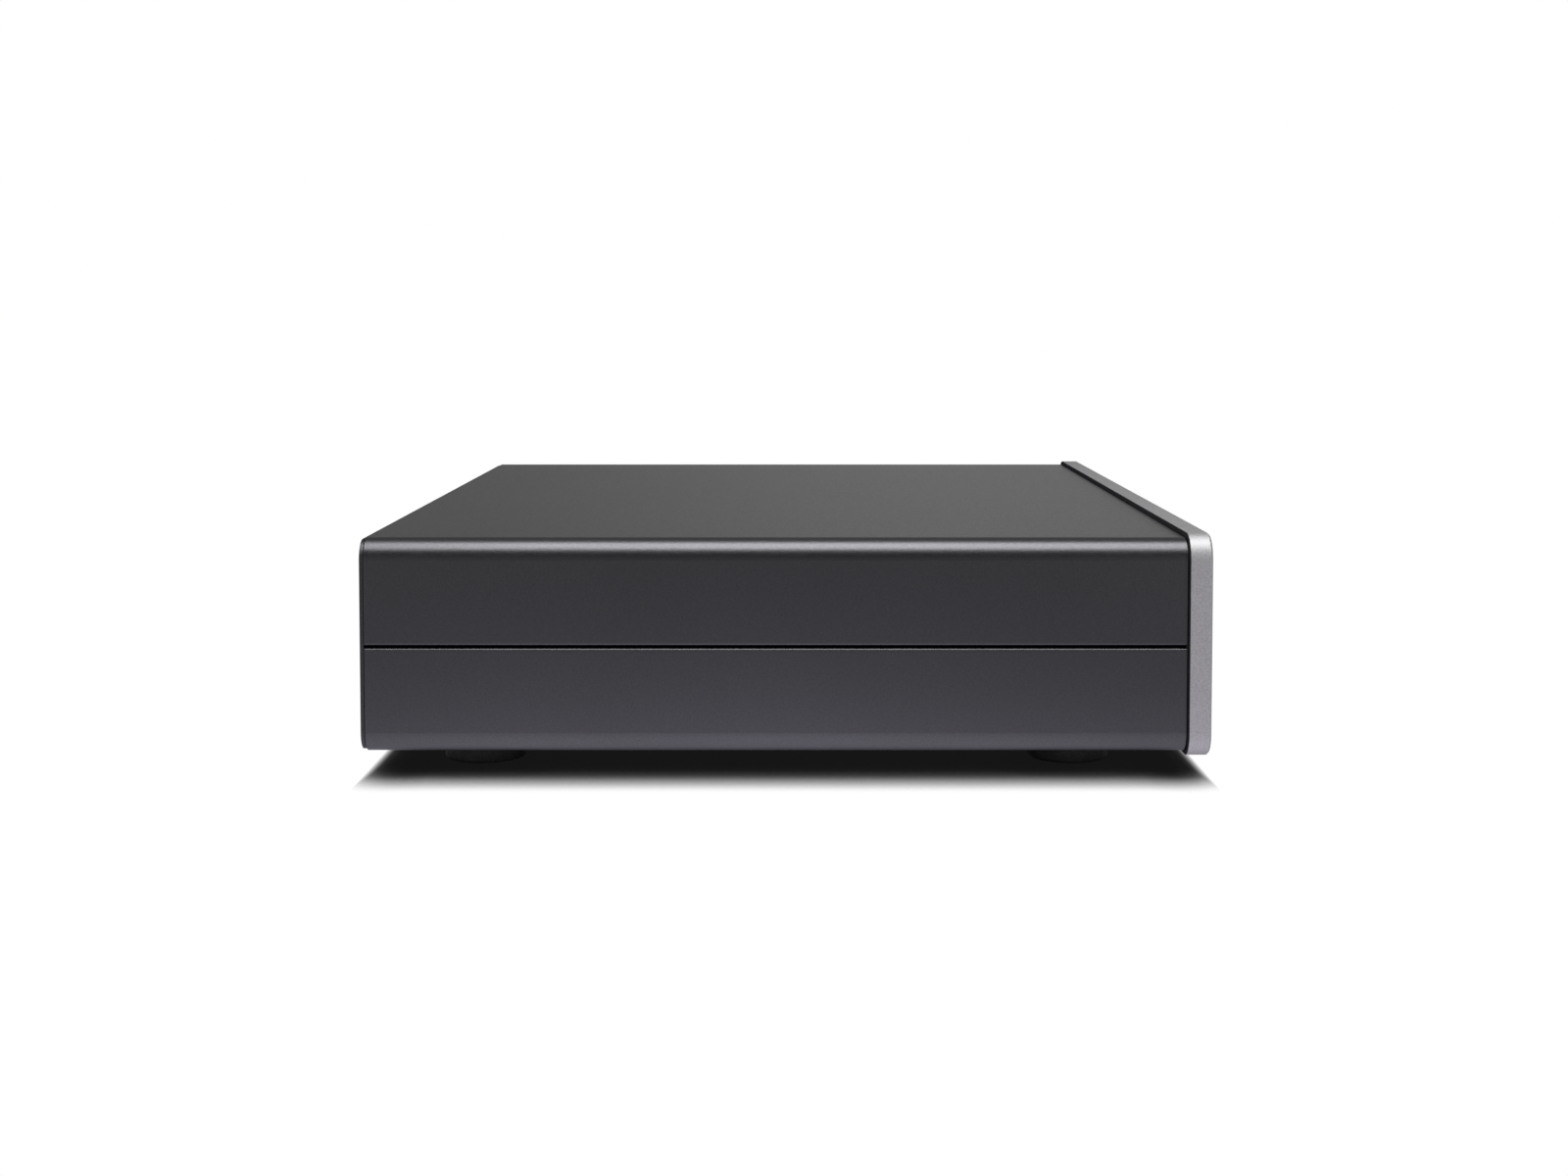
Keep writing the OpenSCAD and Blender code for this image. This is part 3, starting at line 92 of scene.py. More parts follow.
class Finish:
    """A node material around one Principled shader. Texture sizes are in millimetres."""

    def __init__(self, name, base, metallic, roughness):
        self.material = bpy.data.materials.new(name)
        self.material.use_nodes = True
        self.tree = self.material.node_tree
        self.shader = self.tree.nodes["Principled BSDF"]
        self.base = base
        self.roughness = roughness
        self.set("Base Color", (*base, 1))
        self.set("Metallic", metallic)
        self.set("Roughness", roughness)
        place = self.tree.nodes.new("ShaderNodeTexCoord")
        scale = self.node("ShaderNodeMapping", Scale=(1 / MM, 1 / MM, 1 / MM))
        self.link(place.outputs["Object"], scale.inputs["Vector"])
        self.place = scale.outputs["Vector"]
        self.facing = place.outputs["Normal"]
        self.colour = base
        self.normal = None

    def set(self, socket, value):
        """A value that is the same all over the surface."""
        self.shader.inputs[socket].default_value = value

    def link(self, source, target):
        self.tree.links.new(source, target)

    def node(self, kind, **values):
        """A new node with values on its inputs, named with underscores for spaces."""
        made = self.tree.nodes.new(kind)
        for socket, value in values.items():
            made.inputs[socket.replace("_", " ")].default_value = value
        return made

    def stretched(self, x, y, z):
        """The texture place, drawn out along an axis by a factor below 1."""
        made = self.node("ShaderNodeMapping", Scale=(x, y, z))
        self.link(self.place, made.inputs["Vector"])
        return made.outputs["Vector"]

    def noise(self, size, detail=2.0, place=None):
        """Cloudy noise from 0 to 1 whose blotches are about size across."""
        made = self.node("ShaderNodeTexNoise", Scale=1 / size, Detail=detail,
                         Roughness=NOISE_ROUGHNESS)
        self.link(place or self.place, made.inputs["Vector"])
        return made.outputs["Fac"]

    def ranged(self, value, low, high, start=NOISE_LOW, end=NOISE_HIGH):
        """Low where the value is at start, high where it is at end, clamped outside."""
        made = self.node("ShaderNodeMapRange", From_Min=start, From_Max=end,
                         To_Min=low, To_Max=high)
        self.link(value, made.inputs["Value"])
        return made.outputs["Result"]

    def math(self, operation, first, second=0):
        return math_node(self.tree, operation, first, second)

    def mix(self, factor, first, second):
        """Blend of two colours, each a socket or a plain colour."""
        made = self.tree.nodes.new("ShaderNodeMix")
        made.data_type = "RGBA"
        self.link(factor, made.inputs["Factor"])
        for socket, value in zip(MIX_COLOURS, (first, second)):
            if isinstance(value, tuple):
                made.inputs[socket].default_value = (*value, 1)
            else:
                self.link(value, made.inputs[socket])
        return made.outputs[MIX_RESULT]

    def parts(self, vector):
        """The three numbers of a place in millimetres or of a facing."""
        made = self.tree.nodes.new("ShaderNodeSeparateXYZ")
        self.link(vector, made.inputs["Vector"])
        return made.outputs

    def shade(self, amount):
        """The base colour, lighter or darker."""
        return tuple(min(1.0, c * amount) for c in self.base)

    def paint(self, colour):
        self.colour = colour
        self.link(colour, self.shader.inputs["Base Color"])
        return self

    def bend(self, normal):
        self.normal = normal
        self.link(normal, self.shader.inputs["Normal"])
        return self

    def mottle(self, blotch, blotch_by, speck, speck_by):
        """Slow drift of the colour over the piece, with a finer speckle on top."""
        drift = self.ranged(self.noise(blotch), 1 - blotch_by, 1 + blotch_by)
        grain = self.ranged(self.noise(speck, 1.0), 1 - speck_by, 1 + speck_by)
        value = self.math("MULTIPLY", drift, grain)
        return self.paint(self.mix(self.ranged(value, 0, 1, SHADE_LOW, SHADE_HIGH),
                                   self.shade(SHADE_LOW), self.shade(SHADE_HIGH)))

    def polish(self, size, by):
        """Roughness that wanders around its mean."""
        rough = self.ranged(self.noise(size), self.roughness - by, self.roughness + by)
        self.link(rough, self.shader.inputs["Roughness"])
        return self

    def bare(self, mask, colour):
        """Another colour where the mask is 1."""
        return self.paint(self.mix(mask, self.colour, colour))

    def soften(self, radius):
        """Rounds sharp edges in the shading."""
        made = self.node("ShaderNodeBevel", Radius=radius * MM)
        made.samples = BEVEL_SAMPLES
        return self.bend(made.outputs["Normal"])

    def wear(self, amount):
        """Lighter colour where the edges are rubbed, on a softened finish."""
        surface = self.tree.nodes.new("ShaderNodeNewGeometry")
        turn = self.tree.nodes.new("ShaderNodeVectorMath")
        turn.operation = "DOT_PRODUCT"
        self.link(self.normal, turn.inputs[0])
        self.link(surface.outputs["Normal"], turn.inputs[1])
        edge = self.ranged(turn.outputs["Value"], 1, 0, RUBBED, UNTOUCHED)
        patch = self.ranged(self.noise(WEAR_PATCH, 3), WEAR_LEAST, 1)
        return self.bare(self.math("MULTIPLY", edge, patch), self.shade(amount))

    def grain(self, height, depth, strength):
        """Bump from a height socket, depth in millimetres."""
        made = self.node("ShaderNodeBump", Strength=strength, Distance=depth * MM)
        self.link(height, made.inputs["Height"])
        if self.normal:
            self.link(self.normal, made.inputs["Normal"])
        return self.bend(made.outputs["Normal"])

    def coat_grain(self, size):
        """Fine bump of a textured coat or a blasted face."""
        return self.grain(self.noise(size), depth=0.03, strength=0.6)


SEAM_EDGE_R = 0.5
SEAM_FADE = 0.1
# Painted shade: the near-black colour painted on the tongue inside the seam, standing in for the
# shadow in the gap.
SEAM_PAINTED_SHADE = (0.004, 0.004, 0.004)
seam_z = middle("front_panel")[0].z
seam_inner_x = middle("top_cover")[1].x / 2 - SEAM_EDGE_R


def case_metal():
    """Fine textured charcoal coat on the two case halves, with painted shade: near black is painted
    inside the seam, where the gap lies in shadow.
    """
    finish = Finish("charcoal_coat", (0.109, 0.1077, 0.1148), metallic=1.0, roughness=0.345)
    finish.set("Specular Tint", (0.74, 0.74, 0.74, 1))
    finish.mottle(blotch=38, blotch_by=0.03, speck=0.4, speck_by=0.06).polish(size=0.5, by=0.04)
    x, _, z = finish.parts(finish.place)
    off_middle = finish.math("ABSOLUTE", x)
    off_seam = finish.math("ABSOLUTE", finish.math("SUBTRACT", z, seam_z))
    # Painted shade: the inner face at seam height is painted near black, as the shade in the gap
    # between the halves.
    within = finish.ranged(off_middle, 1, 0, seam_inner_x - SEAM_FADE, seam_inner_x)
    level = finish.ranged(off_seam, 1, 0, SEAM_EDGE_R, SEAM_EDGE_R + SEAM_FADE)
    finish.bare(finish.math("MULTIPLY", within, level), SEAM_PAINTED_SHADE)
    return finish.soften(radius=0.1).coat_grain(size=0.42)


# Painted shade: the dark colour painted on the rear face of the front panel, standing in for the
# unlit rear of the lip.
PANEL_REAR_SHADE = (0.085, 0.08, 0.089)
REARWARD = (0.5, 0.65)  # the facing from which the front panel is black, along Y


def panel_metal():
    """Bead-blasted light grey aluminium of the front panel, with painted shade: its rear face is
    painted dark, as the shade behind the lip.
    """
    finish = Finish("blasted_aluminium", (0.608, 0.601, 0.612), metallic=1.0, roughness=0.595)
    finish.set("Specular Tint", (0.0, 0.0, 0.0, 1))
    finish.shader.distribution = "GGX"
    finish.mottle(blotch=24, blotch_by=0.03, speck=0.4, speck_by=0.12).polish(size=0.4, by=0.05)
    finish.soften(radius=0.12).wear(1.3)
    rearward = finish.parts(finish.facing)[1]
    # Painted shade: faces turned rearward are painted dark, standing in for the shade on the rear
    # of the lip.
    finish.bare(finish.ranged(rearward, 0, 1, *REARWARD), PANEL_REAR_SHADE)
    return finish.coat_grain(size=0.42)


def button_metal():
    """Turned satin aluminium, its lines round the axis of each button."""
    finish = Finish("turned_aluminium", (0.56, 0.55, 0.575), metallic=1.0, roughness=0.32)
    finish.mottle(blotch=6, blotch_by=0.03, speck=0.3, speck_by=0.05).polish(size=0.6, by=0.05)
    spread = finish.tree.nodes.new("ShaderNodeTexCoord")
    centred = finish.node("ShaderNodeMapping", Location=(-0.5, 0, -0.5))
    finish.link(spread.outputs["Generated"], centred.inputs["Vector"])
    rings = finish.node("ShaderNodeTexWave", Scale=6.0, Distortion=0.3, Detail=1.0)
    rings.wave_type = "RINGS"
    rings.rings_direction = "Y"
    finish.link(centred.outputs["Vector"], rings.inputs["Vector"])
    return finish.soften(radius=0.1).grain(rings.outputs["Fac"], depth=0.012, strength=0.5)


def rear_metal():
    """Charcoal coat of the thin rear sheet, a little rougher than on the case."""
    finish = Finish("rear_coat", (0.085, 0.084, 0.088), metallic=1.0, roughness=0.42)
    finish.set("Specular Tint", (0.6, 0.6, 0.6, 1))
    finish.mottle(blotch=30, blotch_by=0.05, speck=0.45, speck_by=0.14).polish(size=0.8, by=0.06)
    return finish.soften(radius=0.12).wear(1.8).coat_grain(size=0.45)


def moulded(name, base, roughness=0.42):
    """Moulded plastic with a light spark-eroded texture."""
    finish = Finish(name, base, metallic=0.0, roughness=roughness)
    finish.mottle(blotch=9, blotch_by=0.05, speck=0.3, speck_by=0.06).polish(size=1.5, by=0.07)
    return finish.soften(radius=0.15).grain(finish.noise(0.22), depth=0.015, strength=0.35)


def foot_rubber():
    """Matt rubber, dusty on its faces."""
    finish = Finish("foot_rubber", (0.075, 0.075, 0.077), metallic=0.0, roughness=0.78)
    finish.mottle(blotch=4, blotch_by=0.18, speck=0.4, speck_by=0.2).polish(size=1.0, by=0.1)
    finish.set("Specular IOR Level", 0.3)
    return finish.soften(radius=0.25).grain(finish.noise(0.35, 4), depth=0.05, strength=0.6)


def plated(name, base, roughness, lay=(1, 1, 1)):
    """Plated or bare metal with fine lines along its lay."""
    finish = Finish(name, base, metallic=1.0, roughness=roughness)
    finish.mottle(blotch=5, blotch_by=0.05, speck=0.3, speck_by=0.04).polish(size=0.7, by=0.06)
    lines = finish.noise(0.12, place=finish.stretched(*lay))
    return finish.soften(radius=0.1).grain(lines, depth=0.008, strength=0.35)


def light_plastic():
    """Milky light guide."""
    finish = Finish("light_guide", (0.82, 0.84, 0.86), metallic=0.0, roughness=0.22)
    finish.set("Subsurface Weight", 0.4)
    finish.set("Subsurface Radius", (0.002, 0.002, 0.002))
    finish.mottle(blotch=2, blotch_by=0.03, speck=0.3, speck_by=0.02).polish(size=0.8, by=0.05)
    return finish.soften(radius=0.1)


def board(name, base, track):
    """Laminate with tracks that run under the solder mask."""
    finish = Finish(name, base, metallic=0.0, roughness=0.35)
    finish.mottle(blotch=15, blotch_by=0.06, speck=0.5, speck_by=0.05).polish(size=2, by=0.06)
    bricks = finish.node("ShaderNodeTexBrick", Scale=0.25, Mortar_Size=0.03)
    finish.link(finish.place, bricks.inputs["Vector"])
    finish.bare(bricks.outputs["Fac"], track)
    copper = finish.math("SUBTRACT", 1.0, bricks.outputs["Fac"])
    return finish.grain(copper, depth=0.03, strength=0.4)


def wound_core():
    """Ferrite and lacquered copper windings."""
    finish = Finish("wound_core", (0.16, 0.1, 0.05), metallic=0.3, roughness=0.45)
    finish.mottle(blotch=6, blotch_by=0.15, speck=0.4, speck_by=0.1).polish(size=1, by=0.08)
    turns = finish.node("ShaderNodeTexWave", Scale=2.0, Distortion=0.6)
    finish.link(finish.place, turns.inputs["Vector"])
    return finish.grain(turns.outputs["Fac"], depth=0.2, strength=0.7)


def cable():
    """Jacketed wire."""
    finish = Finish("cable_jacket", (0.32, 0.31, 0.31), metallic=0.0, roughness=0.5)
    finish.mottle(blotch=6, blotch_by=0.08, speck=0.5, speck_by=0.06).polish(size=1.5, by=0.06)
    return finish.grain(finish.noise(0.3), depth=0.02, strength=0.4)


FINISHES = {
    "panel_metal": panel_metal(),
    "button_metal": button_metal(),
    "case_metal": case_metal(),
    "rear_metal": rear_metal(),
    "black_plastic": moulded("black_moulding", (0.018, 0.018, 0.019)),
    "foot_rubber": foot_rubber(),
    "screw_steel": plated("black_zinc", (0.14, 0.14, 0.148), 0.32),
    "brass": plated("brass", (0.72, 0.5, 0.2), 0.3),
    "gold_plate": plated("gold_plate", (0.86, 0.63, 0.28), 0.2, lay=(1, 0.05, 1)),
    "bright_metal": plated("bright_nickel", (0.66, 0.65, 0.63), 0.26, lay=(1, 0.08, 1)),
    "white_plastic": moulded("white_moulding", (0.78, 0.78, 0.75)),
    "red_plastic": moulded("red_moulding", (0.52, 0.02, 0.018)),
    "orange_plastic": moulded("orange_moulding", (0.78, 0.22, 0.02)),
    "light_plastic": light_plastic(),
    "board_green": board("green_laminate", (0.012, 0.11, 0.045), (0.02, 0.2, 0.08)),
    "board_tan": board("tan_laminate", (0.36, 0.24, 0.1), (0.42, 0.3, 0.14)),
    "dark_parts": moulded("dark_parts", (0.03, 0.032, 0.036), 0.4),
    "wound_core": wound_core(),
    "cable": cable(),
}

for entry in frame["record"]["subparts"]:
    piece = nodes[entry["node"]]
    for place in piece.material_slots:
        place.material = FINISHES[entry["material_slot"]].material


# Small fittings


def add_piece(name, body, slot, shape):
    """A new piece from a bmesh, on a body and in a slot's finish."""
    mesh = bpy.data.meshes.new(name)
    bmesh.ops.recalc_face_normals(shape, faces=shape.faces)
    for face in shape.faces:
        face.smooth = False
    shape.to_mesh(mesh)
    shape.free()
    made = bpy.data.objects.new(name, mesh)
    bpy.context.scene.collection.objects.link(made)
    mesh.materials.append(FINISHES[slot].material)
    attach(made, body)


def sweep(shape, sections):
    """Skin over rings of points, each ring as long as the next, with both ends closed."""
    rings = [[shape.verts.new(Vector(point) * MM) for point in section] for section in sections]
    for ring, following in zip(rings, rings[1:]):
        for k in range(len(ring)):
            other = (k + 1) % len(ring)
            shape.faces.new((ring[k], ring[other], following[other], following[k]))
    shape.faces.new(rings[0])
    shape.faces.new(rings[-1])


def rounded_outline(width, height, radius, steps=5):
    """Corner points of a rounded rectangle around the origin."""
    points = []
    for quarter, (sx, sz) in enumerate(((1, 1), (-1, 1), (-1, -1), (1, -1))):
        for step in range(steps + 1):
            turn = math.radians(90 * (quarter + step / steps))
            points.append((sx * (width / 2 - radius) + radius * math.cos(turn),
                           sz * (height / 2 - radius) + radius * math.sin(turn)))
    return points


EDGE_MIDDLE = 0.3  # the share of a broken edge at which its slope changes


def pad(shape, centre, width, height, radius, back_y, front_y, edge):
    """Rounded plate across the depth, its front edge broken by a small bevel."""
    def layer(inset, y):
        outline = rounded_outline(width - 2 * inset, height - 2 * inset, radius - inset)
        return [(centre[0] + x, y, centre[1] + z) for x, z in outline]
    back_way = -1 if front_y > back_y else 1
    sweep(shape, [layer(0, back_y),
                  layer(0, front_y + back_way * edge),
                  layer(edge * EDGE_MIDDLE, front_y + back_way * edge * EDGE_MIDDLE),
                  layer(edge, front_y)])


PRINT_T = 0.03
PRINT_SINK = 0.02
SIGN_DROP = 2.2  # from the lower edge of a button to the middle of its sign
FIGURE_H = 2.6
FIGURE_SHARE = 0.7  # height of a figure in the size of its font
FIGURE_STEPS = 6
FIGURE_WELD = 1e-4
RING_R = 1.15
RING_W = 0.32
RING_OPEN = 38  # degrees on each side of the top
RING_STEPS = 48
BAR_UP = 0.72  # middle and length of the bar, in radii of the ring
BAR_LENGTH = 1.15
BAR_ROUND = 0.49
BAR_EDGE = 0.004


def sign_place(button):
    """Where the middle of a button's sign lies: across, and up."""
    centre, size = middle(button)
    return centre.x, centre.z - size.z / 2 - SIGN_DROP


def numeral(figure, button):
    """Printed figure under a preset button."""
    sign_x, sign_z = sign_place(button)
    letters = bpy.data.curves.new("figure", "FONT")
    letters.body = figure
    letters.size = FIGURE_H / FIGURE_SHARE
    letters.align_x = "CENTER"
    letters.align_y = "CENTER"
    letters.resolution_u = FIGURE_STEPS
    carrier = bpy.data.objects.new("figure", letters)
    flat = bpy.data.meshes.new_from_object(carrier)
    bpy.data.objects.remove(carrier)
    shape = bmesh.new()
    shape.from_mesh(flat)
    bpy.data.meshes.remove(flat)
    bmesh.ops.remove_doubles(shape, verts=shape.verts, dist=FIGURE_WELD)
    front = bmesh.ops.extrude_face_region(shape, geom=list(shape.faces))["geom"]
    for vert in front:
        if isinstance(vert, bmesh.types.BMVert):
            vert.co.z += PRINT_T + PRINT_SINK
    for vert in shape.verts:
        x, up, out = vert.co
        vert.co = Vector((sign_x + x, panel_front + PRINT_SINK - out, sign_z + up)) * MM
    add_piece("preset_numeral_" + figure, "chassis", "dark_parts", shape)


def standby_sign():
    """Printed broken ring and bar under the power button."""
    x, z = sign_place("power_button")
    inner, outer = RING_R - RING_W / 2, RING_R + RING_W / 2
    back_y, front_y = panel_front + PRINT_SINK, panel_front - PRINT_T
    corners = ((inner, back_y), (outer, back_y), (outer, front_y), (inner, front_y))
    shape = bmesh.new()
    turns = [math.radians(RING_OPEN + (360 - 2 * RING_OPEN) * k / RING_STEPS)
             for k in range(RING_STEPS + 1)]
    sweep(shape, [[(x + r * math.sin(turn), y, z + r * math.cos(turn)) for r, y in corners]
                  for turn in turns])
    pad(shape, (x, z + RING_R * BAR_UP), RING_W, RING_R * BAR_LENGTH, RING_W * BAR_ROUND,
        back_y, front_y, BAR_EDGE)
    add_piece("standby_sign", "chassis", "dark_parts", shape)


for figure in "1234":
    numeral(figure, "preset_button_" + figure)
standby_sign()

BARREL_R = 3.15
THREAD_PITCH = 0.7
THREAD_RISE = 0.14
THREAD_SINK = 0.06
THREAD_FOOT = 0.26  # half the width of a crest at its foot and at its top
THREAD_TOP = 0.05
THREAD_FADE = 0.6  # turns over which a crest rises and falls
THREAD_STEPS = 40
THREAD_FROM_NUT = 0.35
THREAD_FROM_TIP = 0.45


def antenna_thread(name, x, z, start_y, end_y):
    """Thread crests round the barrel of an antenna socket, faded out at both ends."""
    shape = bmesh.new()
    turns = (end_y - start_y) / THREAD_PITCH
    count = int(turns * THREAD_STEPS)
    root = BARREL_R - THREAD_SINK
    sections = []
    for k in range(count + 1):
        along = k / count
        turn = 2 * math.pi * turns * along
        y = start_y + (end_y - start_y) * along
        rise = min(1, along * turns / THREAD_FADE, (1 - along) * turns / THREAD_FADE)
        crest = BARREL_R + THREAD_RISE * rise
        sections.append([(x + r * math.cos(turn), y + dy, z + r * math.sin(turn))
                         for r, dy in ((root, -THREAD_FOOT), (crest, -THREAD_TOP),
                                       (crest, THREAD_TOP), (root, THREAD_FOOT))])
    sweep(shape, sections)
    add_piece(name, "chassis", "gold_plate", shape)


nut_middle, nut_size = middle("antenna_nuts")
nut_half = nut_size.z / 2 / math.cos(math.radians(30))
nut_outer_y = nut_middle.y + nut_size.y / 2
barrel_tip_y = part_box("antenna_jacks")[1].y / MM
for name, x in (("antenna_thread_left", nut_middle.x - nut_size.x / 2 + nut_half),
                ("antenna_thread_right", nut_middle.x + nut_size.x / 2 - nut_half)):
    antenna_thread(name, x, nut_middle.z,
                   nut_outer_y + THREAD_FROM_NUT, barrel_tip_y - THREAD_FROM_TIP)

CONTACT_COUNT = 8
CONTACT_PITCH = 1.02
CONTACT_W = 0.42
CONTACT_TOP_W = 0.294
CONTACT_T = 0.22
CONTACT_FLOOR = 4.7  # floor of the network socket under its middle
# Depth behind the face of the socket, and rise above its floor.
CONTACT_ROUTE = ((1.5, 0.02), (2.0, 0.2), (2.6, 0.5), (8.6, 2.6),
                 (9.2, 2.72), (9.8, 2.65), (12.9, 2.0))


def network_contacts():
    """Eight sprung wires that slope up from the floor of the network socket."""
    centre, size = middle("ethernet_shield")
    face_y = centre.y + size.y / 2
    floor_z = centre.z - CONTACT_FLOOR
    shape = bmesh.new()
    for k in range(CONTACT_COUNT):
        x = centre.x + (k - (CONTACT_COUNT - 1) / 2) * CONTACT_PITCH
        sections = []
        for depth, rise in CONTACT_ROUTE:
            y, z = face_y - depth, floor_z + rise
            sections.append(((x - CONTACT_W / 2, y, z), (x + CONTACT_W / 2, y, z),
                             (x + CONTACT_TOP_W / 2, y, z + CONTACT_T),
                             (x - CONTACT_TOP_W / 2, y, z + CONTACT_T)))
        sweep(shape, sections)
    add_piece("network_contacts", "chassis", "gold_plate", shape)


WINDOW_X = 5.6  # from the middle of the network socket
WINDOW_Z = 4.4
WINDOW_W = 2.8
WINDOW_H = 1.7
WINDOW_R = 0.3
WINDOW_SINK = 0.1
WINDOW_RISE = 0.16
WINDOW_EDGE = 0.1


def network_windows():
    """Two milky indicator windows in the upper corners of the network socket."""
    centre, size = middle("ethernet_insert")
    face_y = centre.y + size.y / 2
    for name, side in (("network_window_left", -1), ("network_window_right", 1)):
        shape = bmesh.new()
        pad(shape, (centre.x + side * WINDOW_X, centre.z + WINDOW_Z), WINDOW_W, WINDOW_H, WINDOW_R,
            face_y - WINDOW_SINK, face_y + WINDOW_RISE, WINDOW_EDGE)
        add_piece(name, "chassis", "light_plastic", shape)


USB_TONGUE_T = 1.8
USB_TONGUE_TOP = 0.4  # top of the tongue under the top of its block
USB_STRIPS_X = (-3.5, -1.0, 1.0, 3.5)
USB_STRIP_W = 1.0
USB_STRIP_FACE_W = 0.84
USB_STRIP_SINK = 0.05
# Distance from the inner end of the block or from the tip, and how far the strip stands out.
USB_STRIP_START = (3.05, 0.12)
USB_STRIP_TIP = ((1.3, 0.12), (0.9, 0.08), (0.7, 0.01))


def usb_contacts():
    """Four gilt strips under the tongue of the data socket."""
    low, high = (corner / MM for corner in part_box("usb_tongue"))
    middle_x = middle("usb_tongue")[0].x
    under_z = high.z - USB_TONGUE_TOP - USB_TONGUE_T
    start, start_drop = USB_STRIP_START
    route = [(low.y + start, start_drop)] + [(high.y - back, drop) for back, drop in USB_STRIP_TIP]
    half_w, half_face_w = USB_STRIP_W / 2, USB_STRIP_FACE_W / 2
    shape = bmesh.new()
    for offset in USB_STRIPS_X:
        x = middle_x + offset
        sweep(shape, [((x - half_w, y, under_z + USB_STRIP_SINK),
                       (x + half_w, y, under_z + USB_STRIP_SINK),
                       (x + half_face_w, y, under_z - drop),
                       (x - half_face_w, y, under_z - drop)) for y, drop in route])
    add_piece("usb_contacts", "chassis", "gold_plate", shape)


network_contacts()
network_windows()
usb_contacts()


# Studio

ROOM_LEVEL = 0.2
FAR_LEVEL = 0.285
GAP_LEVEL = 0.04

# The floor's radii and the reach of its shadow are in metres, places on it in millimetres.
FLOOR_R = 0.6
FLOOR_FULL_R = 0.27
FLOOR_END_R = 0.42
FLOOR_STEPS = 96
FLOOR_PAPER = (0.97, 0.97, 0.97)
FLOOR_ROUGHNESS = 0.9

SHADOW_REACH = 0.015
SHADOW_SAMPLES = 16
SHADOW_SKY = (0.145, 0.92)  # open share of the sky that is dark, and that is white
SHADOW_POWER = 2.55
SHADOW_DEEPEST = 0.0075
SHADOW_STOP = (-2.1, 0.4)  # where the shadow runs out, from the ends of the body
SHADOW_END_ZONE = 14
SHADOW_END_BY = 0.3

POOL_LEVEL = 1.0
POOL_TINT = (0.92, 0.89, 1)
POOL_REACH = (118, 310)
POOL_POWER = 1.5
POOL_SKY = (0.12, 0.45)
POOL_WING_Y = (150, 230)
POOL_WING_X = (-140, -60)


def studio_floor():
    """Pale paper with the object's shadow, that thins out into the backdrop. The camera sees it
    white, and metal and plastic reflect it as a pool of white round the object."""
    mesh = bpy.data.meshes.new("floor")
    shape = bmesh.new()
    bmesh.ops.create_circle(shape, cap_ends=True, segments=FLOOR_STEPS, radius=FLOOR_R)
    shape.to_mesh(mesh)
    shape.free()
    floor = bpy.data.objects.new("floor", mesh)
    bpy.context.scene.collection.objects.link(floor)
    paper = Finish("floor_paper", FLOOR_PAPER, metallic=0.0, roughness=FLOOR_ROUGHNESS)
    paper.set("Specular IOR Level", 0.0)
    tree = paper.tree

    def either(factor, first, second):
        made = tree.nodes.new("ShaderNodeMixShader")
        for source, target in zip((factor, first, second), made.inputs):
            paper.link(source, target)
        return made.outputs["Shader"]

    def glow(strength, colour):
        made = tree.nodes.new("ShaderNodeEmission")
        made.inputs["Color"].default_value = (*colour, 1)
        paper.link(strength, made.inputs["Strength"])
        return made.outputs["Emission"]

    hidden = paper.node("ShaderNodeAmbientOcclusion", Distance=SHADOW_REACH)
    hidden.samples = SHADOW_SAMPLES
    sky = hidden.outputs["AO"]
    across, lengthwise, _ = paper.parts(paper.place)
    body_middle = (panel_front + rear_face) / 2
    half_depth = (rear_face - panel_front) / 2
    off_middle = paper.math("ABSOLUTE", paper.math("SUBTRACT", lengthwise, body_middle))

    past_ends = paper.ranged(off_middle, 0, 1, *(half_depth + stop for stop in SHADOW_STOP))
    near_ends = paper.ranged(off_middle, 0, SHADOW_END_BY, half_depth - SHADOW_END_ZONE, half_depth)
    closed = paper.math("MULTIPLY", near_ends, paper.math("SUBTRACT", 1.0, sky))
    opened = paper.ranged(paper.math("SUBTRACT", sky, closed), 0, 1, *SHADOW_SKY)
    shadow = paper.math("POWER", paper.math("MAXIMUM", opened, past_ends), SHADOW_POWER)
    paper.paint(paper.mix(shadow, (0.0, 0.0, 0.0), FLOOR_PAPER))
    white = glow(paper.math("ADD", shadow, SHADOW_DEEPEST), (1, 1, 1))

    reach = tree.nodes.new("ShaderNodeVectorMath")
    reach.operation = "LENGTH"
    paper.link(paper.place, reach.inputs[0])
    distance = reach.outputs["Value"]
    fall = paper.math("POWER", paper.ranged(distance, 1, 0, *POOL_REACH), POOL_POWER)
    spread = paper.math("ADD", paper.math("MULTIPLY", fall, POOL_LEVEL - FAR_LEVEL), FAR_LEVEL)
    wings = paper.math("MULTIPLY", paper.ranged(off_middle, 0, POOL_LEVEL, *POOL_WING_Y),
                       paper.ranged(across, 1, 0, *POOL_WING_X))
    spread = paper.math("MAXIMUM", spread, wings)
    pool = glow(paper.math("MULTIPLY", spread, paper.ranged(sky, 0, 1, *POOL_SKY)), POOL_TINT)

    seen, mirrored = ray_kinds(tree)
    lit = either(mirrored, paper.shader.outputs["BSDF"], pool)
    shown = either(seen, lit, white)
    gone = paper.ranged(distance, 0, 1, FLOOR_FULL_R / MM, FLOOR_END_R / MM)
    under = tree.nodes.new("ShaderNodeNewGeometry").outputs["Backfacing"]
    clear = tree.nodes.new("ShaderNodeBsdfTransparent").outputs["BSDF"]
    sheet = either(paper.math("MAXIMUM", gone, under), shown, clear)
    paper.link(sheet, tree.nodes["Material Output"].inputs["Surface"])
    mesh.materials.append(paper.material)


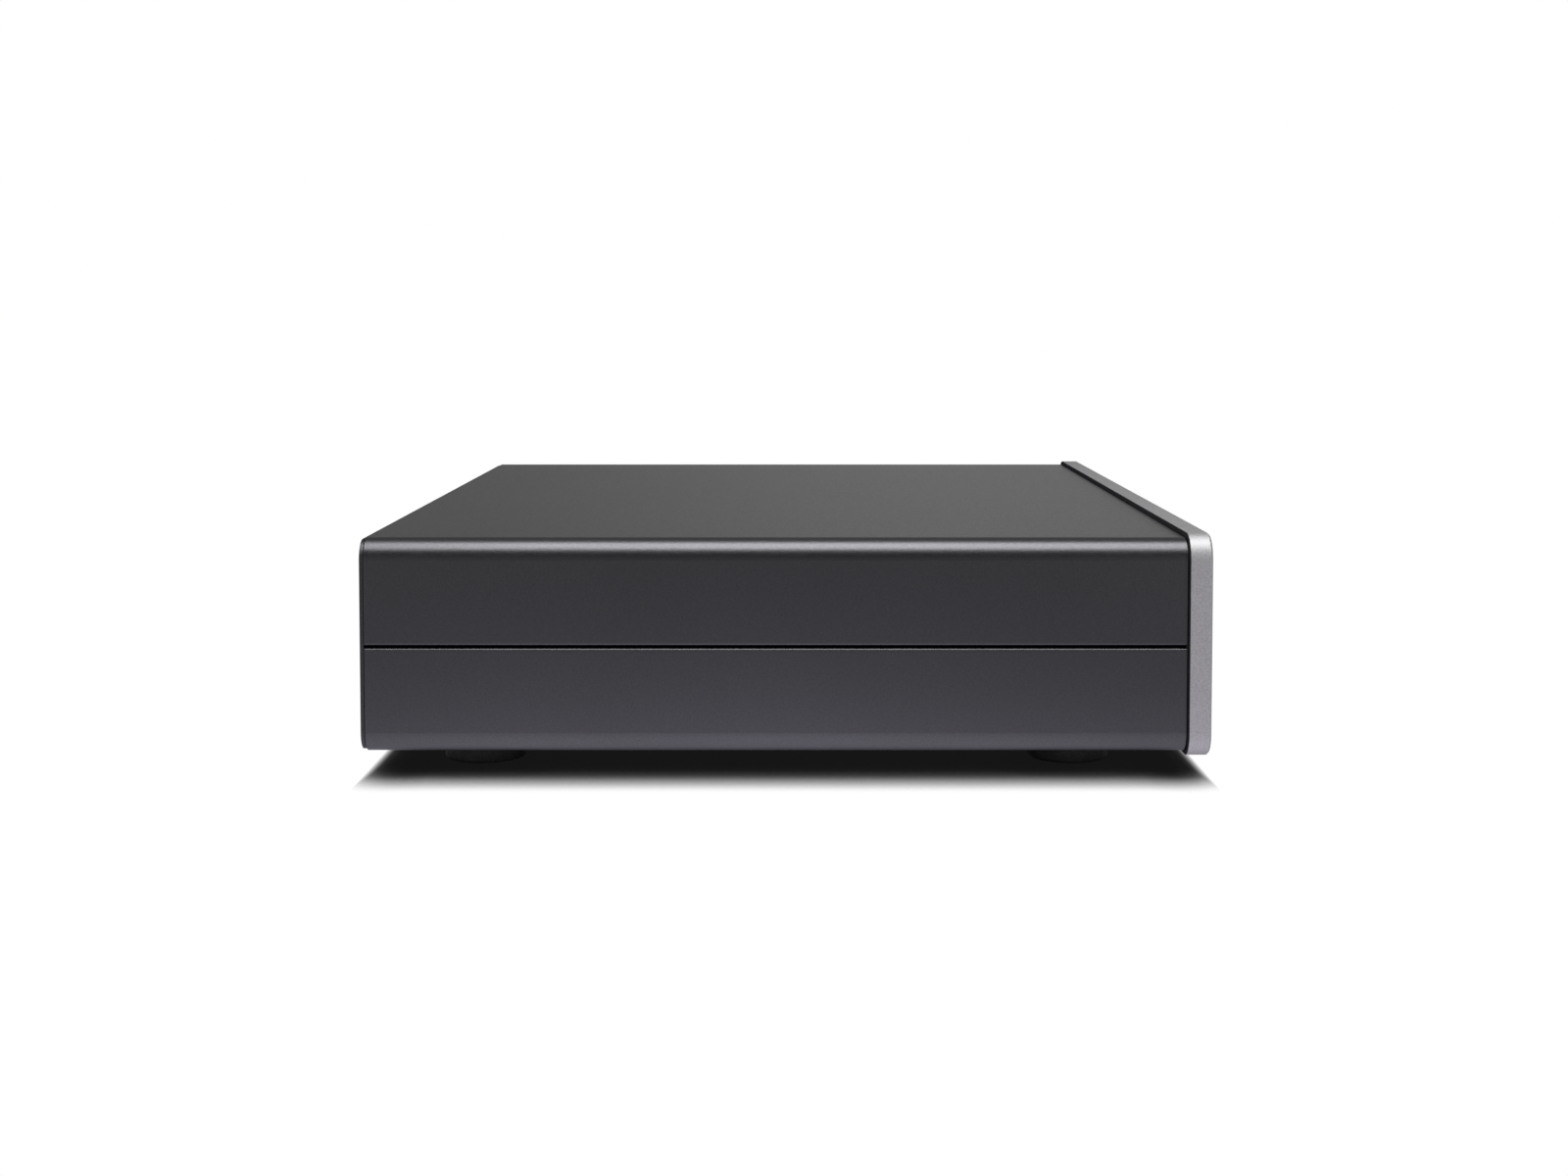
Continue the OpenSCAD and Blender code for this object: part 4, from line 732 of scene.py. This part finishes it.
# Ramps over a ray's way across, along and up: start, end, and the value at each.
WALLS_HEIGHT = (0.5, 1.0, 1, 0)
FAR_WALL_SIDE = (0.1, 0.9, 0, 1)
FAR_WALL_DEPTH = (-0.09, 0.2, 0.57, 0.2)
FAR_WALL_HEIGHT = (0.06, 0.32, 1, 0.2)
END_WALLS_DEPTH = (0.5, 0.95, 0, 0.26)
NEAR_WALL_SIDE = (-0.9, -0.3, FAR_LEVEL - ROOM_LEVEL, 0)
NEAR_WALL_HEIGHT = (-0.08, 0.1, 1, 0)
WINGS_SIDE = (-0.5, -0.2, 1, 0)
WINGS_DEPTH = (0.27, 0.6, 0, 0.92)
WINGS_HEIGHT = (0.25, 0.6, 1, 0)
GAP_SIDE = (-0.7, -0.3, 1, 0)
GAP_DEPTH = (0.2, 0.45, 1, 0)
GAP_FOOT = (0.1, 0.26, 0, ROOM_LEVEL - GAP_LEVEL)
GAP_TOP = (0.6, 0.85, 1, 0)


def studio_world():
    """White backdrop for the camera. Metal and plastic reflect it as a room with pale walls, and
    with pale wings and a dark gap between them on the camera's side, dimmer overhead."""
    world = bpy.data.worlds.new("studio")
    bpy.context.scene.world = world
    world.use_nodes = True
    tree = world.node_tree

    def value(operation, first, second=0):
        return math_node(tree, operation, first, second)

    def product(first, *others):
        for other in others:
            first = value("MULTIPLY", first, other)
        return first

    def ramp(source, limits):
        made = tree.nodes.new("ShaderNodeMapRange")
        made.interpolation_type = "SMOOTHSTEP"
        for socket, number in zip(("From Min", "From Max", "To Min", "To Max"), limits):
            made.inputs[socket].default_value = number
        tree.links.new(source, made.inputs["Value"])
        return made.outputs["Result"]

    place = tree.nodes.new("ShaderNodeTexCoord")
    ways = tree.nodes.new("ShaderNodeSeparateXYZ")
    tree.links.new(place.outputs["Generated"], ways.inputs["Vector"])
    side, depth, height = ways.outputs
    slant = value("ABSOLUTE", depth)
    far_wall = product(ramp(side, FAR_WALL_SIDE), ramp(depth, FAR_WALL_DEPTH),
                       ramp(height, FAR_WALL_HEIGHT))
    end_walls = ramp(slant, END_WALLS_DEPTH)
    near_wall = product(ramp(side, NEAR_WALL_SIDE), ramp(height, NEAR_WALL_HEIGHT))
    wings = product(ramp(slant, WINGS_DEPTH), ramp(side, WINGS_SIDE), ramp(height, WINGS_HEIGHT))
    gap = product(ramp(height, GAP_FOOT), ramp(height, GAP_TOP),
                  ramp(side, GAP_SIDE), ramp(slant, GAP_DEPTH))
    walls = product(value("ADD", far_wall, end_walls), ramp(height, WALLS_HEIGHT))
    walls = value("MAXIMUM", value("ADD", walls, near_wall), wings)
    walls = value("SUBTRACT", walls, gap)
    seen, mirrored = ray_kinds(tree)
    dim = value("ADD", product(mirrored, walls), ROOM_LEVEL)
    strength = value("ADD", product(seen, value("SUBTRACT", 1.0, dim)), dim)
    backdrop = tree.nodes["Background"]
    backdrop.inputs["Color"].default_value = (1, 1, 1, 1)
    tree.links.new(strength, backdrop.inputs["Strength"])


SOFTBOX_AT = (-0.285, -0.03, 0.9)
SOFTBOX_AIM = (-0.06, -0.03, 0.05)
SOFTBOX_W = 0.71
SOFTBOX_L = 0.72
SOFTBOX_RADIANCE = 4.9


def overhead_softbox():
    """Rectangular lamp with its length along Y, set by the brightness of its face."""
    lamp = bpy.data.lights.new("overhead_softbox", "AREA")
    lamp.shape = "RECTANGLE"
    lamp.size = SOFTBOX_L
    lamp.size_y = SOFTBOX_W
    lamp.energy = SOFTBOX_RADIANCE * math.pi * SOFTBOX_W * SOFTBOX_L
    made = bpy.data.objects.new("overhead_softbox", lamp)
    made.location = SOFTBOX_AT
    beam = Vector(SOFTBOX_AIM) - Vector(SOFTBOX_AT)
    made.rotation_euler = beam.to_track_quat("-Z", "Y").to_euler()
    made.visible_camera = False
    bpy.context.scene.collection.objects.link(made)


studio_floor()
studio_world()
overhead_softbox()


# Camera

PICTURE_W = 1600
PICTURE_H = 1200
SENSOR_W = 36
FOCAL_PX = 2096.8
AXIS_PX = (809.4, 423.4)
CAMERA_AT = (-0.5406, -0.00583, 0.10093)
CAMERA_TILT = math.radians(3)
CAMERA_NEAR = 0.01

lens = bpy.data.cameras.new("camera")
lens.sensor_width = SENSOR_W
lens.sensor_fit = "HORIZONTAL"
lens.lens = FOCAL_PX / PICTURE_W * SENSOR_W
lens.shift_x = (PICTURE_W / 2 - AXIS_PX[0]) / PICTURE_W
lens.shift_y = (AXIS_PX[1] - PICTURE_H / 2) / PICTURE_W
lens.clip_start = CAMERA_NEAR
camera = bpy.data.objects.new("camera", lens)
camera.location = CAMERA_AT
gaze = Vector((math.cos(CAMERA_TILT), 0, -math.sin(CAMERA_TILT)))
camera.rotation_euler = gaze.to_track_quat("-Z", "Y").to_euler()
bpy.context.scene.collection.objects.link(camera)
bpy.context.scene.camera = camera
bpy.context.scene.view_settings.view_transform = "Standard"
